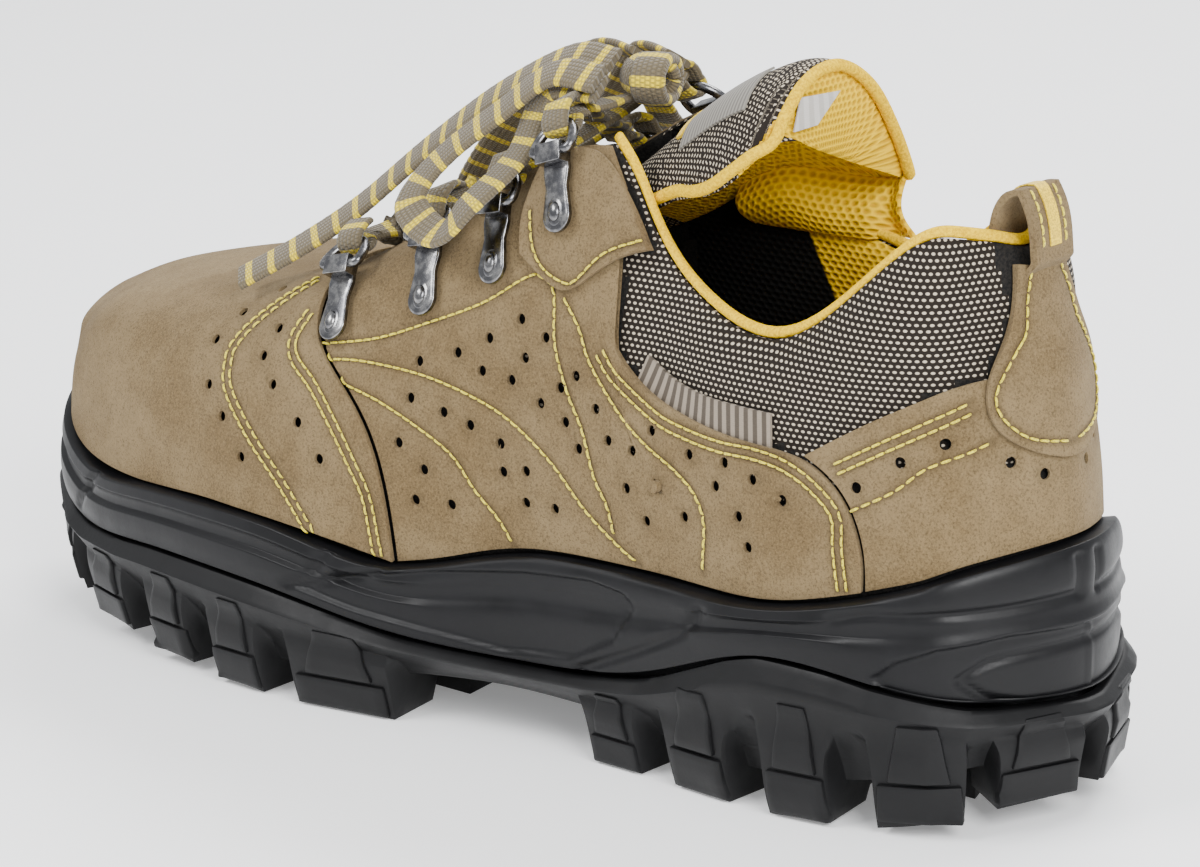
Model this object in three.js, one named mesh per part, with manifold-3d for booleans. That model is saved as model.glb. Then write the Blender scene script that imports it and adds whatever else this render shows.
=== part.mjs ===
// A low safety shoe for the left foot: suede over a padded mesh collar, on a moulded two-part lugged sole.
// Millimetres. The toe points along -X, the outer side of the foot is -Y, and the floor is Z = 0.
import * as THREE from "three";
import { mergeVertices } from "three/addons/utils/BufferGeometryUtils.js";
import Module from "manifold-3d";

const wasm = await Module();
wasm.setup();

// Driving sizes
const length = 300;
const ballWidth = 112;
const instepHeight = 131;
const soleHeight = 50;
const clearance = 0.3;

// Thicknesses
const wall = 1.6;
const collarPad = 5.5;
const suede = 1.2;
const seat = 1.2;
const lap = 1.3;
const footInset = 8;
const footLift = 1;

// One row for each section round the shoe, from the heel's back to the toe. at is a share of length from the heel,
// lateral and medial are shares of ballWidth. As shares of soleHeight, ground is the foot of the lugs, root the
// outsole between them, ridge the step between outsole and midsole, feather the midsole's top edge, bed the footbed.
const soleSections = [
  {
    name: "heel back", at: 0.0, lateral: 0, medial: 0, ground: 0.12, root: 0.3, ridge: 0.52,
    feather: 1.17, bed: 0.64,
  },
  {
    name: "heel corner", at: 0.035, lateral: -0.235, medial: 0.225, ground: 0.1, root: 0.27, ridge: 0.55,
    feather: 1.12, bed: 0.63,
  },
  {
    name: "heel side", at: 0.085, lateral: -0.34, medial: 0.32, ground: 0.035, root: 0.22, ridge: 0.61,
    feather: 1.03, bed: 0.62,
  },
  {
    name: "heel front", at: 0.19, lateral: -0.393, medial: 0.365, ground: 0, root: 0.15, ridge: 0.68,
    feather: 0.89, bed: 0.58,
  },
  {
    name: "waist rear", at: 0.31, lateral: -0.384, medial: 0.34, ground: 0, root: 0.17, ridge: 0.43,
    feather: 0.88, bed: 0.52,
  },
  {
    name: "waist", at: 0.42, lateral: -0.393, medial: 0.345, ground: 0, root: 0.23, ridge: 0.36,
    feather: 0.85, bed: 0.46,
  },
  {
    name: "waist front", at: 0.53, lateral: -0.455, medial: 0.41, ground: 0, root: 0.2, ridge: 0.4,
    feather: 0.7, bed: 0.42,
  },
  {
    name: "ball", at: 0.64, lateral: -0.5, medial: 0.4905, ground: 0, root: 0.15, ridge: 0.51,
    feather: 0.82, bed: 0.41,
  },
  {
    name: "toe rear", at: 0.76, lateral: -0.487, medial: 0.495, ground: 0.05, root: 0.2, ridge: 0.54,
    feather: 0.83, bed: 0.44,
  },
  {
    name: "toe front", at: 0.87, lateral: -0.43, medial: 0.43, ground: 0.12, root: 0.27, ridge: 0.52,
    feather: 0.8, bed: 0.5,
  },
  {
    name: "toe corner", at: 0.95, lateral: -0.305, medial: 0.315, ground: 0.22, root: 0.38, ridge: 0.66,
    feather: 0.98, bed: 0.56,
  },
  {
    name: "toe tip", at: 1.0, lateral: 0.01, medial: 0.01, ground: 0.3, root: 0.46, ridge: 0.76,
    feather: 1.12, bed: 0.6,
  },
];

// The upper over the same sections. Out is a share of ballWidth from the sole's outline, In a share of the way from
// belly to rim, Up a share of the rise from belly to rim, and the rim is given as at, a share of ballWidth and a
// share of instepHeight.
const upperSections = [
  {
    bellyOut: -0.055, bellyUp: 0.46, lowIn: 0.2, lowUp: 0.32, highIn: 0.6, highUp: 0.72, rimAt: 0.052,
    rimLateral: 0, rimMedial: 0, rimUp: 0.9, rimUpMedial: 0.9,
  },
  {
    bellyOut: -0.055, bellyUp: 0.45, lowIn: 0.18, lowUp: 0.32, highIn: 0.56, highUp: 0.7, rimAt: 0.068,
    rimLateral: -0.11, rimMedial: 0.11, rimUp: 0.92, rimUpMedial: 0.925,
  },
  {
    bellyOut: -0.055, bellyUp: 0.43, lowIn: 0.18, lowUp: 0.32, highIn: 0.52, highUp: 0.68, rimAt: 0.104,
    rimLateral: -0.2, rimMedial: 0.19, rimUp: 0.915, rimUpMedial: 0.925,
  },
  {
    bellyOut: -0.052, bellyUp: 0.41, lowIn: 0.22, lowUp: 0.36, highIn: 0.55, highUp: 0.7, rimAt: 0.2,
    rimLateral: -0.265, rimMedial: 0.25, rimUp: 0.742, rimUpMedial: 0.79,
  },
  {
    bellyOut: -0.052, bellyUp: 0.41, lowIn: 0.22, lowUp: 0.36, highIn: 0.58, highUp: 0.7, rimAt: 0.305,
    rimLateral: -0.24, rimMedial: 0.225, rimUp: 0.82, rimUpMedial: 0.86,
  },
  {
    bellyOut: -0.05, bellyUp: 0.39, lowIn: 0.2, lowUp: 0.36, highIn: 0.56, highUp: 0.72, rimAt: 0.378,
    rimLateral: -0.19, rimMedial: 0.18, rimUp: 1.0, rimUpMedial: 1.01,
  },
  {
    bellyOut: -0.05, bellyUp: 0.37, lowIn: 0.2, lowUp: 0.4, highIn: 0.55, highUp: 0.78, rimAt: 0.485,
    rimLateral: -0.165, rimMedial: 0.16, rimUp: 0.9, rimUpMedial: 0.9,
  },
  {
    bellyOut: -0.05, bellyUp: 0.37, lowIn: 0.17, lowUp: 0.46, highIn: 0.52, highUp: 0.84, rimAt: 0.585,
    rimLateral: -0.145, rimMedial: 0.14, rimUp: 0.78, rimUpMedial: 0.78,
  },
  {
    bellyOut: -0.05, bellyUp: 0.38, lowIn: 0.12, lowUp: 0.52, highIn: 0.44, highUp: 0.84, rimAt: 0.65,
    rimLateral: -0.11, rimMedial: 0.11, rimUp: 0.705, rimUpMedial: 0.705,
  },
  {
    bellyOut: -0.052, bellyUp: 0.39, lowIn: 0.08, lowUp: 0.52, highIn: 0.32, highUp: 0.76, rimAt: 0.672,
    rimLateral: -0.065, rimMedial: 0.065, rimUp: 0.69, rimUpMedial: 0.69,
  },
  {
    bellyOut: -0.052, bellyUp: 0.41, lowIn: 0.06, lowUp: 0.5, highIn: 0.28, highUp: 0.71, rimAt: 0.68,
    rimLateral: -0.03, rimMedial: 0.035, rimUp: 0.685, rimUpMedial: 0.685,
  },
  {
    bellyOut: -0.055, bellyUp: 0.42, lowIn: 0.05, lowUp: 0.48, highIn: 0.26, highUp: 0.69, rimAt: 0.682,
    rimLateral: 0.003, rimMedial: 0.003, rimUp: 0.685, rimUpMedial: 0.685,
  },
];

const sectionCount = soleSections.length;
const ringCount = 2 * (sectionCount - 1);

// A column of a section table as a closed ring of values: outer side from heel to toe, inner side back to the heel.
function ring(table, column, innerColumn = column) {
  const outer = table.map((row) => row[column]);
  const inner = table.slice(1, -1).map((row) => row[innerColumn]);
  return [...outer, ...inner.reverse()];
}

function catmull(a, b, c, d, u) {
  return 0.5 * (2 * b + (c - a) * u + (2 * a - 5 * b + 4 * c - d) * u * u + (3 * b - a - 3 * c + d) * u * u * u);
}

// The value of a closed ring at s, where 0 is the heel's back and 0.5 the toe's tip.
function onRing(values, s) {
  const n = values.length;
  const f = (((s % 1) + 1) % 1) * n;
  const i = Math.floor(f);
  const pick = (k) => values[(i + k + n) % n];
  return catmull(pick(-1), pick(0), pick(1), pick(2), f - i);
}

const rings = {
  at: ring(soleSections, "at"),
  side: ring(soleSections, "lateral", "medial"),
  ground: ring(soleSections, "ground"),
  root: ring(soleSections, "root"),
  ridge: ring(soleSections, "ridge"),
  feather: ring(soleSections, "feather"),
  bed: ring(soleSections, "bed"),
  bellyOut: ring(upperSections, "bellyOut"),
  bellyUp: ring(upperSections, "bellyUp"),
  lowIn: ring(upperSections, "lowIn"),
  lowUp: ring(upperSections, "lowUp"),
  highIn: ring(upperSections, "highIn"),
  highUp: ring(upperSections, "highUp"),
  rimAt: ring(upperSections, "rimAt"),
  rimSide: ring(upperSections, "rimLateral", "rimMedial"),
  rimUp: ring(upperSections, "rimUp", "rimUpMedial"),
};

const alongX = (at) => length * (0.5 - at);

// The sole's outline in plan at s, moved out by offset.
function outline(s, offset = 0) {
  const here = (q) => new THREE.Vector2(alongX(onRing(rings.at, q)), ballWidth * onRing(rings.side, q));
  const step = 0.002;
  const along = here(s + step).sub(here(s - step)).normalize();
  return here(s).add(new THREE.Vector2(along.y, -along.x).multiplyScalar(-offset));
}

const soleZ = (name, s) => soleHeight * onRing(rings[name], s);

// A rib of the upper at s: its points from the footbed to the rim.
function ribPoints(s) {
  const value = (name) => onRing(rings[name], s);
  const plan = (p, z) => new THREE.Vector3(p.x, p.y, z);
  const foot = plan(outline(s, -footInset), soleZ("bed", s) + footLift);
  const belly = plan(outline(s, ballWidth * value("bellyOut")), instepHeight * value("bellyUp"));
  const rim = new THREE.Vector3(alongX(value("rimAt")), ballWidth * value("rimSide"), instepHeight * value("rimUp"));
  const between = (inShare, upShare) =>
    new THREE.Vector3(
      THREE.MathUtils.lerp(belly.x, rim.x, inShare),
      THREE.MathUtils.lerp(belly.y, rim.y, inShare),
      THREE.MathUtils.lerp(belly.z, rim.z, upShare),
    );
  const low = between(value("lowIn"), value("lowUp"));
  const high = between(value("highIn"), value("highUp"));
  return [foot, belly, low, high, rim];
}

const ribCache = new Map();
function rib(s) {
  const key = s.toFixed(6);
  if (!ribCache.has(key)) {
    const curve = new THREE.CatmullRomCurve3(ribPoints(s), false, "centripetal");
    curve.arcLengthDivisions = 40;
    ribCache.set(key, curve);
  }
  return ribCache.get(key);
}

// The upper's form at s round the shoe and t up the rib.
const form = (s, t) => rib(s).getPointAt(THREE.MathUtils.clamp(t, 0, 1));

function formNormal(s, t) {
  const ds = 0.004;
  const dt = 0.02;
  const along = form(s + ds, t).sub(form(s - ds, t));
  const up = form(s, Math.min(t + dt, 1)).sub(form(s, Math.max(t - dt, 0)));
  return up.cross(along).normalize();
}

const layer = (s, t, offset) => form(s, t).addScaledVector(formNormal(s, t), offset);

// The form at section k, where 0 is the heel's back and 11 the toe's tip, share t up the rib, moved out to a level.
const wrap = (k) => ((k % ringCount) + ringCount) % ringCount;
const onForm = (k, t, out) => layer(wrap(k) / ringCount, t, out);

const footGap = 4 * clearance;
const near = (k) => Math.min(wrap(k), ringCount - wrap(k));

// How far the padded mesh stands out of the suede's level at section k and share t.
const collarLine = [0.72, 0.69, 0.645, 0.7, 0.69, 0.7];
function padding(k, t) {
  const at = Math.min(near(k), collarLine.length - 1.001);
  const line = THREE.MathUtils.lerp(collarLine[Math.floor(at)], collarLine[Math.floor(at) + 1], at % 1);
  const back = 0.45 + 0.55 * THREE.MathUtils.smoothstep(at, 0.9, 1.6);
  const front = 1 - THREE.MathUtils.smoothstep(at, 3.5, 4.1);
  const up = THREE.MathUtils.smoothstep(t, line + 0.02, line + 0.14);
  return back * front * up * (1 - 0.6 * THREE.MathUtils.smoothstep(t, 0.88, 1));
}

const liningLevel = -suede - seat;
const outerLevel = (k, t) => liningLevel + 0.65 * collarPad * padding(k, t);
const innerLevel = (k, t) => liningLevel - wall - 0.35 * collarPad * padding(k, t);

// The share up the rib at section k where the form reaches height z.
function shareAt(k, z) {
  let low = 0;
  let high = 0.6;
  for (let i = 0; i < 20; i++) {
    const mid = (low + high) / 2;
    if (onForm(k, mid, 0).z < z) low = mid;
    else high = mid;
  }
  return low;
}

function geometryOf(points, faces) {
  const geometry = new THREE.BufferGeometry();
  geometry.setAttribute("position", new THREE.Float32BufferAttribute(points.flatMap((p) => [p.x, p.y, p.z]), 3));
  geometry.setIndex(faces);
  return geometry;
}

// A closed band swept round the shoe or along a cord: each loop is one closed section, the first index going along.
function bandFaces(count, size, closed) {
  const faces = [];
  for (let i = 0; i < (closed ? count : count - 1); i++) {
    for (let j = 0; j < size; j++) {
      const a = i * size + j;
      const b = ((i + 1) % count) * size + j;
      const up = (j + 1) % size - j;
      faces.push(a, b, b + up, a, b + up, a + up);
    }
  }
  return faces;
}

function bandSolid(loops, closed) {
  const count = loops.length;
  const size = loops[0].length;
  const faces = bandFaces(count, size, closed);
  for (let j = 1; j + 1 < size && !closed; j++) {
    const last = (count - 1) * size;
    faces.push(0, j, j + 1, last, last + j + 1, last + j);
  }
  return geometryOf(loops.flat(), faces);
}

// A solid stacked from rings of points round the sole, ruled straight across at its bottom and top.
function stackedSolid(stations, levels) {
  const n = stations.length;
  const points = levels.flatMap((level) => stations.map(level));
  const faces = [];
  for (let j = 0; j + 1 < levels.length; j++) {
    for (let i = 0; i < n; i++) {
      const a = j * n + i;
      const b = j * n + ((i + 1) % n);
      faces.push(a, b + n, b, a, a + n, b + n);
    }
  }
  const across = (base, up) => {
    for (let i = 0; i < n / 2; i++) {
      const [a, b, c, d] = [i, i + 1, n - i - 1, (n - i) % n].map((v) => base + v);
      if (b !== c) faces.push(...(up ? [a, c, b] : [a, b, c]));
      if (a !== d) faces.push(...(up ? [a, d, c] : [a, c, d]));
    }
  };
  across(0, false);
  across((levels.length - 1) * n, true);
  return geometryOf(points, faces);
}

// Stations from heel to toe on the outer side, no further apart than step, and back on the inner side.
function roundSole(marks, step) {
  const half = [];
  [0, ...marks, ringCount / 2].forEach((mark, i, all) => {
    const from = i ? all[i - 1] : mark;
    const parts = Math.max(1, Math.ceil((mark - from) / step));
    for (let p = 1; p <= parts && i; p++) half.push(from + ((mark - from) * p) / parts);
  });
  return [0, ...half, ...half.slice(0, -1).reverse().map((k) => ringCount - k)];
}

// Rim lugs on each side of the sole, by section from heel to toe.
const lugs = [
  { name: "heel back", from: 0.14, to: 0.86 },
  { name: "heel corner", from: 1.12, to: 2.2 },
  { name: "heel rear", from: 2.5, to: 3.0 },
  { name: "heel middle", from: 3.26, to: 3.76 },
  { name: "heel breast", from: 3.97, to: 4.44 },
  { name: "ball rear", from: 5.96, to: 6.82 },
  { name: "ball middle", from: 7.08, to: 7.54 },
  { name: "ball front", from: 7.76, to: 8.2 },
  { name: "toe side", from: 8.46, to: 9.02 },
  { name: "toe corner", from: 9.3, to: 10.1 },
  { name: "toe front", from: 10.4, to: 10.86 },
];
const lugSlope = 0.03;
const plateDepth = 5;
const soleGap = 3 * clearance;
const lugReach = 19;

const onSole = (k, offset, z) => {
  const p = outline(wrap(k) / ringCount, offset);
  return new THREE.Vector3(p.x, p.y, z);
};
const level = (name, k) => soleZ(name, wrap(k) / ringCount);
const groundAt = (k) => Math.max(0, level("ground", k));

function outsoleLevels() {
  const inLug = (k) => lugs.some(({ from, to }) => near(k) > from && near(k) < to);
  const foot = (k) => (inLug(k) ? groundAt(k) : level("root", k));
  const mix = (k, share) => THREE.MathUtils.lerp(level("root", k), level("ridge", k), share);
  return [
    (k) => onSole(k, -lugReach - 2, level("root", k)),
    (k) => onSole(k, -lugReach, foot(k)),
    (k) => onSole(k, inLug(k) ? -4.2 : -8, foot(k)),
    (k) => onSole(k, inLug(k) ? -2.4 : -6.2, mix(k, inLug(k) ? -0.1 : 0.22)),
    (k) => onSole(k, inLug(k) ? -1.2 : -3.2, mix(k, inLug(k) ? 0.3 : 0.45)),
    (k) => onSole(k, -2, mix(k, 0.55)),
    (k) => onSole(k, 0, mix(k, 0.8)),
    (k) => onSole(k, -2.4, level("ridge", k)),
    (k) => onSole(k, -4.6, level("ridge", k)),
    (k) => onSole(k, -6, level("root", k) + plateDepth),
  ];
}

// Bars of tread inside the rim lugs, each a shallow chevron. at and run are shares of length, reach of ballWidth.
const treadBars = [
  { name: "heel rear bar", at: 0.11, reach: 0.09, run: 0.047 },
  { name: "heel middle bar", at: 0.19, reach: 0.15, run: 0.047 },
  { name: "heel front bar", at: 0.27, reach: 0.14, run: 0.040 },
  { name: "ball rear bar", at: 0.55, reach: 0.22, run: 0.047 },
  { name: "ball middle bar", at: 0.64, reach: 0.26, run: 0.047 },
  { name: "ball front bar", at: 0.73, reach: 0.26, run: 0.043 },
  { name: "toe rear bar", at: 0.81, reach: 0.22, run: 0.040 },
];

// The section number where the outline reaches at.
function sectionAt(at) {
  let low = 0;
  let high = ringCount / 2;
  for (let i = 0; i < 20; i++) {
    const mid = (low + high) / 2;
    if (onRing(rings.at, mid / ringCount) < at) low = mid;
    else high = mid;
  }
  return low;
}

function treadBar({ at, reach, run }) {
  const x = alongX(at);
  const half = reach * ballWidth;
  const k = sectionAt(at);
  const shape = new THREE.Shape(
    [[-half, -0.5], [0, -0.2], [half, -0.5], [half, 0.5], [0, 0.8], [-half, 0.5]].map(
      ([across, along]) => new THREE.Vector2(x - along * run * length, across),
    ),
  );
  const depth = level("root", k) + 2 - groundAt(k);
  return new THREE.ExtrudeGeometry(shape, { depth, bevelEnabled: false }).translate(0, 0, groundAt(k));
}

const toManifold = (geometry) => {
  const plain = new THREE.BufferGeometry();
  plain.setAttribute("position", geometry.getAttribute("position"));
  if (geometry.index) plain.setIndex(geometry.index);
  const merged = mergeVertices(plain, 1e-4);
  return new wasm.Manifold(
    new wasm.Mesh({
      numProp: 3,
      vertProperties: new Float32Array(merged.getAttribute("position").array),
      triVerts: new Uint32Array(merged.index.array),
    }),
  );
};

function joined(geometries) {
  const mesh = wasm.Manifold.union(geometries.map(toManifold)).getMesh();
  const geometry = new THREE.BufferGeometry();
  geometry.setAttribute("position", new THREE.BufferAttribute(mesh.vertProperties, 3));
  geometry.setIndex(new THREE.BufferAttribute(mesh.triVerts, 1));
  return geometry;
}

// The midsole's cup: its side from the ridge up to the feather line, in to the upper and down to the footbed.
function midsoleLevels() {
  const mix = (k, share) => THREE.MathUtils.lerp(level("ridge", k), level("feather", k), share);
  const inside = (k, z) => onForm(k, shareAt(k, z), liningLevel + clearance).setZ(z);
  return [
    (k) => onSole(k, -7.4, level("root", k) + plateDepth + 2 * soleGap),
    (k) => onSole(k, -6, level("ridge", k) + soleGap),
    (k) => onSole(k, -2, mix(k, 0.03) + soleGap),
    (k) => onSole(k, -1.4, mix(k, 0.3)),
    (k) => onSole(k, -1.8, mix(k, 0.52)),
    (k) => onSole(k, -3, mix(k, 0.58)),
    (k) => onSole(k, -3.2, mix(k, 0.72)),
    (k) => onSole(k, -2.4, mix(k, 0.8)),
    (k) => onSole(k, -3, mix(k, 0.96)),
    (k) => onSole(k, -4, mix(k, 1)),
    (k) => inside(k, mix(k, 1)),
    (k) => inside(k, (mix(k, 1) + level("bed", k)) / 2),
    (k) => inside(k, level("bed", k)),
  ];
}

const insoleThick = 3.6;
function insoleLevels() {
  const edge = (k, z, inset) =>
    onForm(k, shareAt(k, z), liningLevel - wall - clearance - inset).setZ(z);
  return [
    (k) => edge(k, level("bed", k) + clearance, 1.4),
    (k) => edge(k, level("bed", k) + 1.6, 0.2),
    (k) => edge(k, level("bed", k) + insoleThick, 0.2),
    (k) => edge(k, level("bed", k) + insoleThick, 5),
  ];
}

const outerSteps = 10;
const innerSteps = 6;
function upperLoop(k) {
  const outer = Array.from({ length: outerSteps }, (_, j) => j / (outerSteps - 1));
  const inner = Array.from({ length: innerSteps }, (_, j) => 1 - j / (innerSteps - 1));
  return [
    ...outer.map((t) => onForm(k, t, outerLevel(k, t))),
    ...inner.map((t) => onForm(k, t, innerLevel(k, t))),
  ];
}

// Edges of the suede pieces by section k and share t. An edge's first point lies on the feather line.
const vampEdge = [
  { k: 5.95 }, { k: 5.98, t: 0.26 }, { k: 6.09, t: 0.36 }, { k: 6.26, t: 0.45 }, { k: 6.55, t: 0.54 },
  { k: 6.82, t: 0.61 }, { k: 7.03, t: 0.68 }, { k: 7.14, t: 0.82 }, { k: 7.6, t: 0.99 },
];
const quarterRear = [
  { k: 2.3 }, { k: 2.28, t: 0.28 }, { k: 2.33, t: 0.38 }, { k: 2.44, t: 0.48 }, { k: 2.62, t: 0.585 },
  { k: 2.76, t: 0.645 },
];
const quarterTop = [
  { k: 2.76, t: 0.645 }, { k: 3.04, t: 0.7 }, { k: 3.53, t: 0.695 }, { k: 3.89, t: 0.68 }, { k: 4.16, t: 0.685 },
  { k: 4.37, t: 0.695 }, { k: 4.55, t: 0.715 }, { k: 4.64, t: 0.77 }, { k: 4.66, t: 0.88 }, { k: 4.7, t: 0.99 },
  { k: 5.5, t: 0.99 }, { k: 6.5, t: 0.99 }, { k: 7.6, t: 0.99 },
];
const counterTop = [
  { k: 0, t: 0.715 }, { k: 0.9, t: 0.695 }, { k: 2, t: 0.64 }, { k: 2.58, t: 0.65 }, { k: 2.76, t: 0.645 },
];
const facingRear = [{ k: 4.76, t: 0.745 }, { k: 4.56, t: 0.84 }, { k: 4.41, t: 0.91 }, { k: 4.22, t: 0.985 }];
const facingFoot = [{ k: 4.76, t: 0.745 }, { k: 4.9, t: 0.705 }, { k: 5.1, t: 0.72 }, { k: 5.33, t: 0.765 }];
const facingFront = [{ k: 5.33, t: 0.765 }, { k: 5.47, t: 0.86 }, { k: 5.56, t: 0.985 }];
const facingTop = [{ k: 4.22, t: 0.985 }, { k: 4.8, t: 0.985 }, { k: 5.56, t: 0.985 }];
const patchFoot = [{ k: 0, t: 0.5 }, { k: 0.45, t: 0.525 }, { k: 0.76, t: 0.57 }];
const patchSide = [
  { k: 0.76, t: 0.57 }, { k: 0.9, t: 0.64 }, { k: 0.86, t: 0.71 }, { k: 0.68, t: 0.78 }, { k: 0.58, t: 0.86 },
  { k: 0.5, t: 0.96 },
];
const patchTop = [{ k: 0, t: 0.96 }, { k: 0.5, t: 0.96 }];

const shifted = (points, by) => points.map(({ k, t }) => ({ k: k + by, t }));
const otherSide = (points, whole = ringCount) => points.map(({ k, t }) => ({ k: whole - k, t }));
const bothSides = (points) => [...otherSide(points.slice(1), 0).reverse(), ...points];
const featherShare = (k) => shareAt(k, level("feather", k) + footGap);
const alongFeather = (from, to) =>
  Array.from({ length: 13 }, (_, i) => ({ k: THREE.MathUtils.lerp(from, to, i / 12) }));

// An edge as a curve over the form, with shares stretched so that its units are alike in length.
const stretch = 4;
const edgeCurve = (points) =>
  new THREE.CatmullRomCurve3(
    points.map(({ k, t = featherShare(k) }) => new THREE.Vector3(k, stretch * t, 0)),
    false,
    "centripetal",
  );

// A closed sheet over the form between four edges. inner and outer give its levels at k and t.
function sheet({ foot, top, rear, front }, columns, rows, inner, outer, mirrored = false) {
  const [footCurve, topCurve, rearCurve, frontCurve] = [foot, top, rear, front].map(edgeCurve);
  const place = (u, v) => {
    const corner = (uc, vc) => (vc ? topCurve : footCurve).getPointAt(uc).multiplyScalar(-(uc ? u : 1 - u) * (vc ? v : 1 - v));
    const p = footCurve.getPointAt(u).multiplyScalar(1 - v);
    p.addScaledVector(topCurve.getPointAt(u), v);
    p.addScaledVector(rearCurve.getPointAt(v), 1 - u).addScaledVector(frontCurve.getPointAt(v), u);
    return p.add(corner(0, 0)).add(corner(1, 0)).add(corner(0, 1)).add(corner(1, 1));
  };
  const points = [];
  for (const levelAt of [outer, inner]) {
    for (let i = 0; i <= columns; i++) {
      for (let j = 0; j <= rows; j++) {
        const p = place(i / columns, j / rows);
        const t = p.y / stretch;
        points.push(onForm(mirrored ? ringCount - p.x : p.x, t, levelAt(p.x, t)));
      }
    }
  }
  const size = rows + 1;
  const skin = (columns + 1) * size;
  const faces = [];
  for (let i = 0; i < columns; i++) {
    for (let j = 0; j < rows; j++) {
      const [a, b, c, d] = [i * size + j, (i + 1) * size + j, (i + 1) * size + j + 1, i * size + j + 1];
      faces.push(a, b, c, a, c, d, a + skin, c + skin, b + skin, a + skin, d + skin, c + skin);
    }
  }
  const rim = [];
  for (let i = 0; i < columns; i++) rim.push(i * size);
  for (let j = 0; j < rows; j++) rim.push(columns * size + j);
  for (let i = columns; i > 0; i--) rim.push(i * size + rows);
  for (let j = rows; j > 0; j--) rim.push(j);
  rim.forEach((p, i) => {
    const q = rim[(i + 1) % rim.length];
    faces.push(q, p, p + skin, q, p + skin, q + skin);
  });
  if (!mirrored) for (let i = 0; i < faces.length; i += 3) [faces[i], faces[i + 1]] = [faces[i + 1], faces[i]];
  return geometryOf(points, faces);
}

const flat = (value) => () => value;

// Sections of a band, as shares of its width and thickness.
const flatBand = [[-0.5, -0.5], [0.5, -0.5], [0.5, 0.5], [-0.5, 0.5]];
const roundBand = [[-0.5, 0], [-0.25, -0.43], [0.25, -0.43], [0.5, 0], [0.25, 0.43], [-0.25, 0.43]];

// A band of even section along a path: width lies across the path and square to the way it faces.
function strap(path, facing, width, thick, samples, section, closed = false) {
  const curve = new THREE.CatmullRomCurve3(path, closed, "centripetal");
  const count = closed ? samples : samples + 1;
  const loops = Array.from({ length: count }, (_, i) => {
    const u = i / samples;
    const tangent = curve.getTangentAt(u);
    const across = tangent.clone().cross(facing(u)).normalize();
    const out = across.clone().cross(tangent).normalize();
    return section.map(([w, h]) =>
      curve.getPointAt(u).addScaledVector(across, w * width).addScaledVector(out, h * thick),
    );
  });
  return bandSolid(loops, closed);
}

// The collar's piping, along the rim from one facing round the heel to the other.
const pipingRadius = 1.5;
const pipingSides = 6;
function piping() {
  const loops = Array.from({ length: 31 }, (_, i) => {
    const k = 5 - i / 3;
    const [outer, inner] = [onForm(k, 1, outerLevel(k, 1)), onForm(k, 1, innerLevel(k, 1))];
    const out = outer.clone().sub(inner).normalize();
    const up = onForm(k, 1, 0).sub(onForm(k, 0.95, 0)).normalize();
    const middle = outer.lerp(inner, 0.5).addScaledVector(up, pipingRadius + clearance + 0.1);
    return Array.from({ length: pipingSides }, (_, j) => {
      const a = (j / pipingSides) * 2 * Math.PI;
      return middle.clone().addScaledVector(out, Math.cos(a) * pipingRadius).addScaledVector(up, Math.sin(a) * pipingRadius);
    });
  });
  return bandSolid(loops, false);
}

// The pull loop's band, bent over the collar's back edge.
const loopWidth = 12;
const loopThick = 1.6;
const loopRise = 12.6;
function pullLoop() {
  const out = lap + clearance + loopThick / 2;
  const inward = innerLevel(0, 1) - clearance - loopThick / 2 - 3.2;
  const overRim = (x, z) => onForm(0, 1, 0).add(new THREE.Vector3(x * loopRise, 0, z * loopRise));
  const path = [
    onForm(0, 0.86, out + 0.3),
    onForm(0, 0.95, out + 0.2),
    overRim(0.2, 0.55),
    overRim(-0.05, 1),
    overRim(-0.45, 0.71),
    onForm(0, 0.97, inward),
    onForm(0, 0.86, inward - 0.6),
  ].map((p) => p.setY(0));
  const sideways = new THREE.Vector3(0, 1, 0);
  return strap(path, (u) => sideways.clone().cross(new THREE.CatmullRomCurve3(path).getTangentAt(u)), loopWidth, loopThick, 18, flatBand);
}

// The tongue from under the vamp to its padded end. at is a share of length from the heel and top of instepHeight,
// both along its middle; the half widths and the falls of its edges are shares of ballWidth; thick of tonguePad.
const tonguePad = 10;
const tongueSections = [
  { name: "root", at: 0.727, top: 0.63, lateral: 0.17, medial: 0.17, fallLateral: 0.027, fallMedial: 0.027, thick: 0.3 },
  { name: "throat", at: 0.66, top: 0.645, lateral: 0.188, medial: 0.188, fallLateral: 0.054, fallMedial: 0.054, thick: 0.4 },
  { name: "lower", at: 0.583, top: 0.721, lateral: 0.205, medial: 0.205, fallLateral: 0.08, fallMedial: 0.08, thick: 0.5 },
  { name: "middle", at: 0.493, top: 0.828, lateral: 0.205, medial: 0.205, fallLateral: 0.085, fallMedial: 0.085, thick: 0.65 },
  { name: "instep", at: 0.417, top: 0.908, lateral: 0.188, medial: 0.188, fallLateral: 0.094, fallMedial: 0.094, thick: 0.75 },
  { name: "gate", at: 0.367, top: 0.992, lateral: 0.156, medial: 0.156, fallLateral: 0.116, fallMedial: 0.116, thick: 0.8 },
  { name: "neck", at: 0.327, top: 1.057, lateral: 0.161, medial: 0.165, fallLateral: 0.129, fallMedial: 0.138, thick: 0.85 },
  { name: "pad", at: 0.287, top: 1.115, lateral: 0.196, medial: 0.25, fallLateral: 0.17, fallMedial: 0.223, thick: 1 },
  { name: "brow", at: 0.25, top: 1.149, lateral: 0.196, medial: 0.259, fallLateral: 0.152, fallMedial: 0.259, thick: 0.9 },
  { name: "end", at: 0.232, top: 1.141, lateral: 0.161, medial: 0.223, fallLateral: 0.116, fallMedial: 0.241, thick: 0.5 },
];

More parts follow.
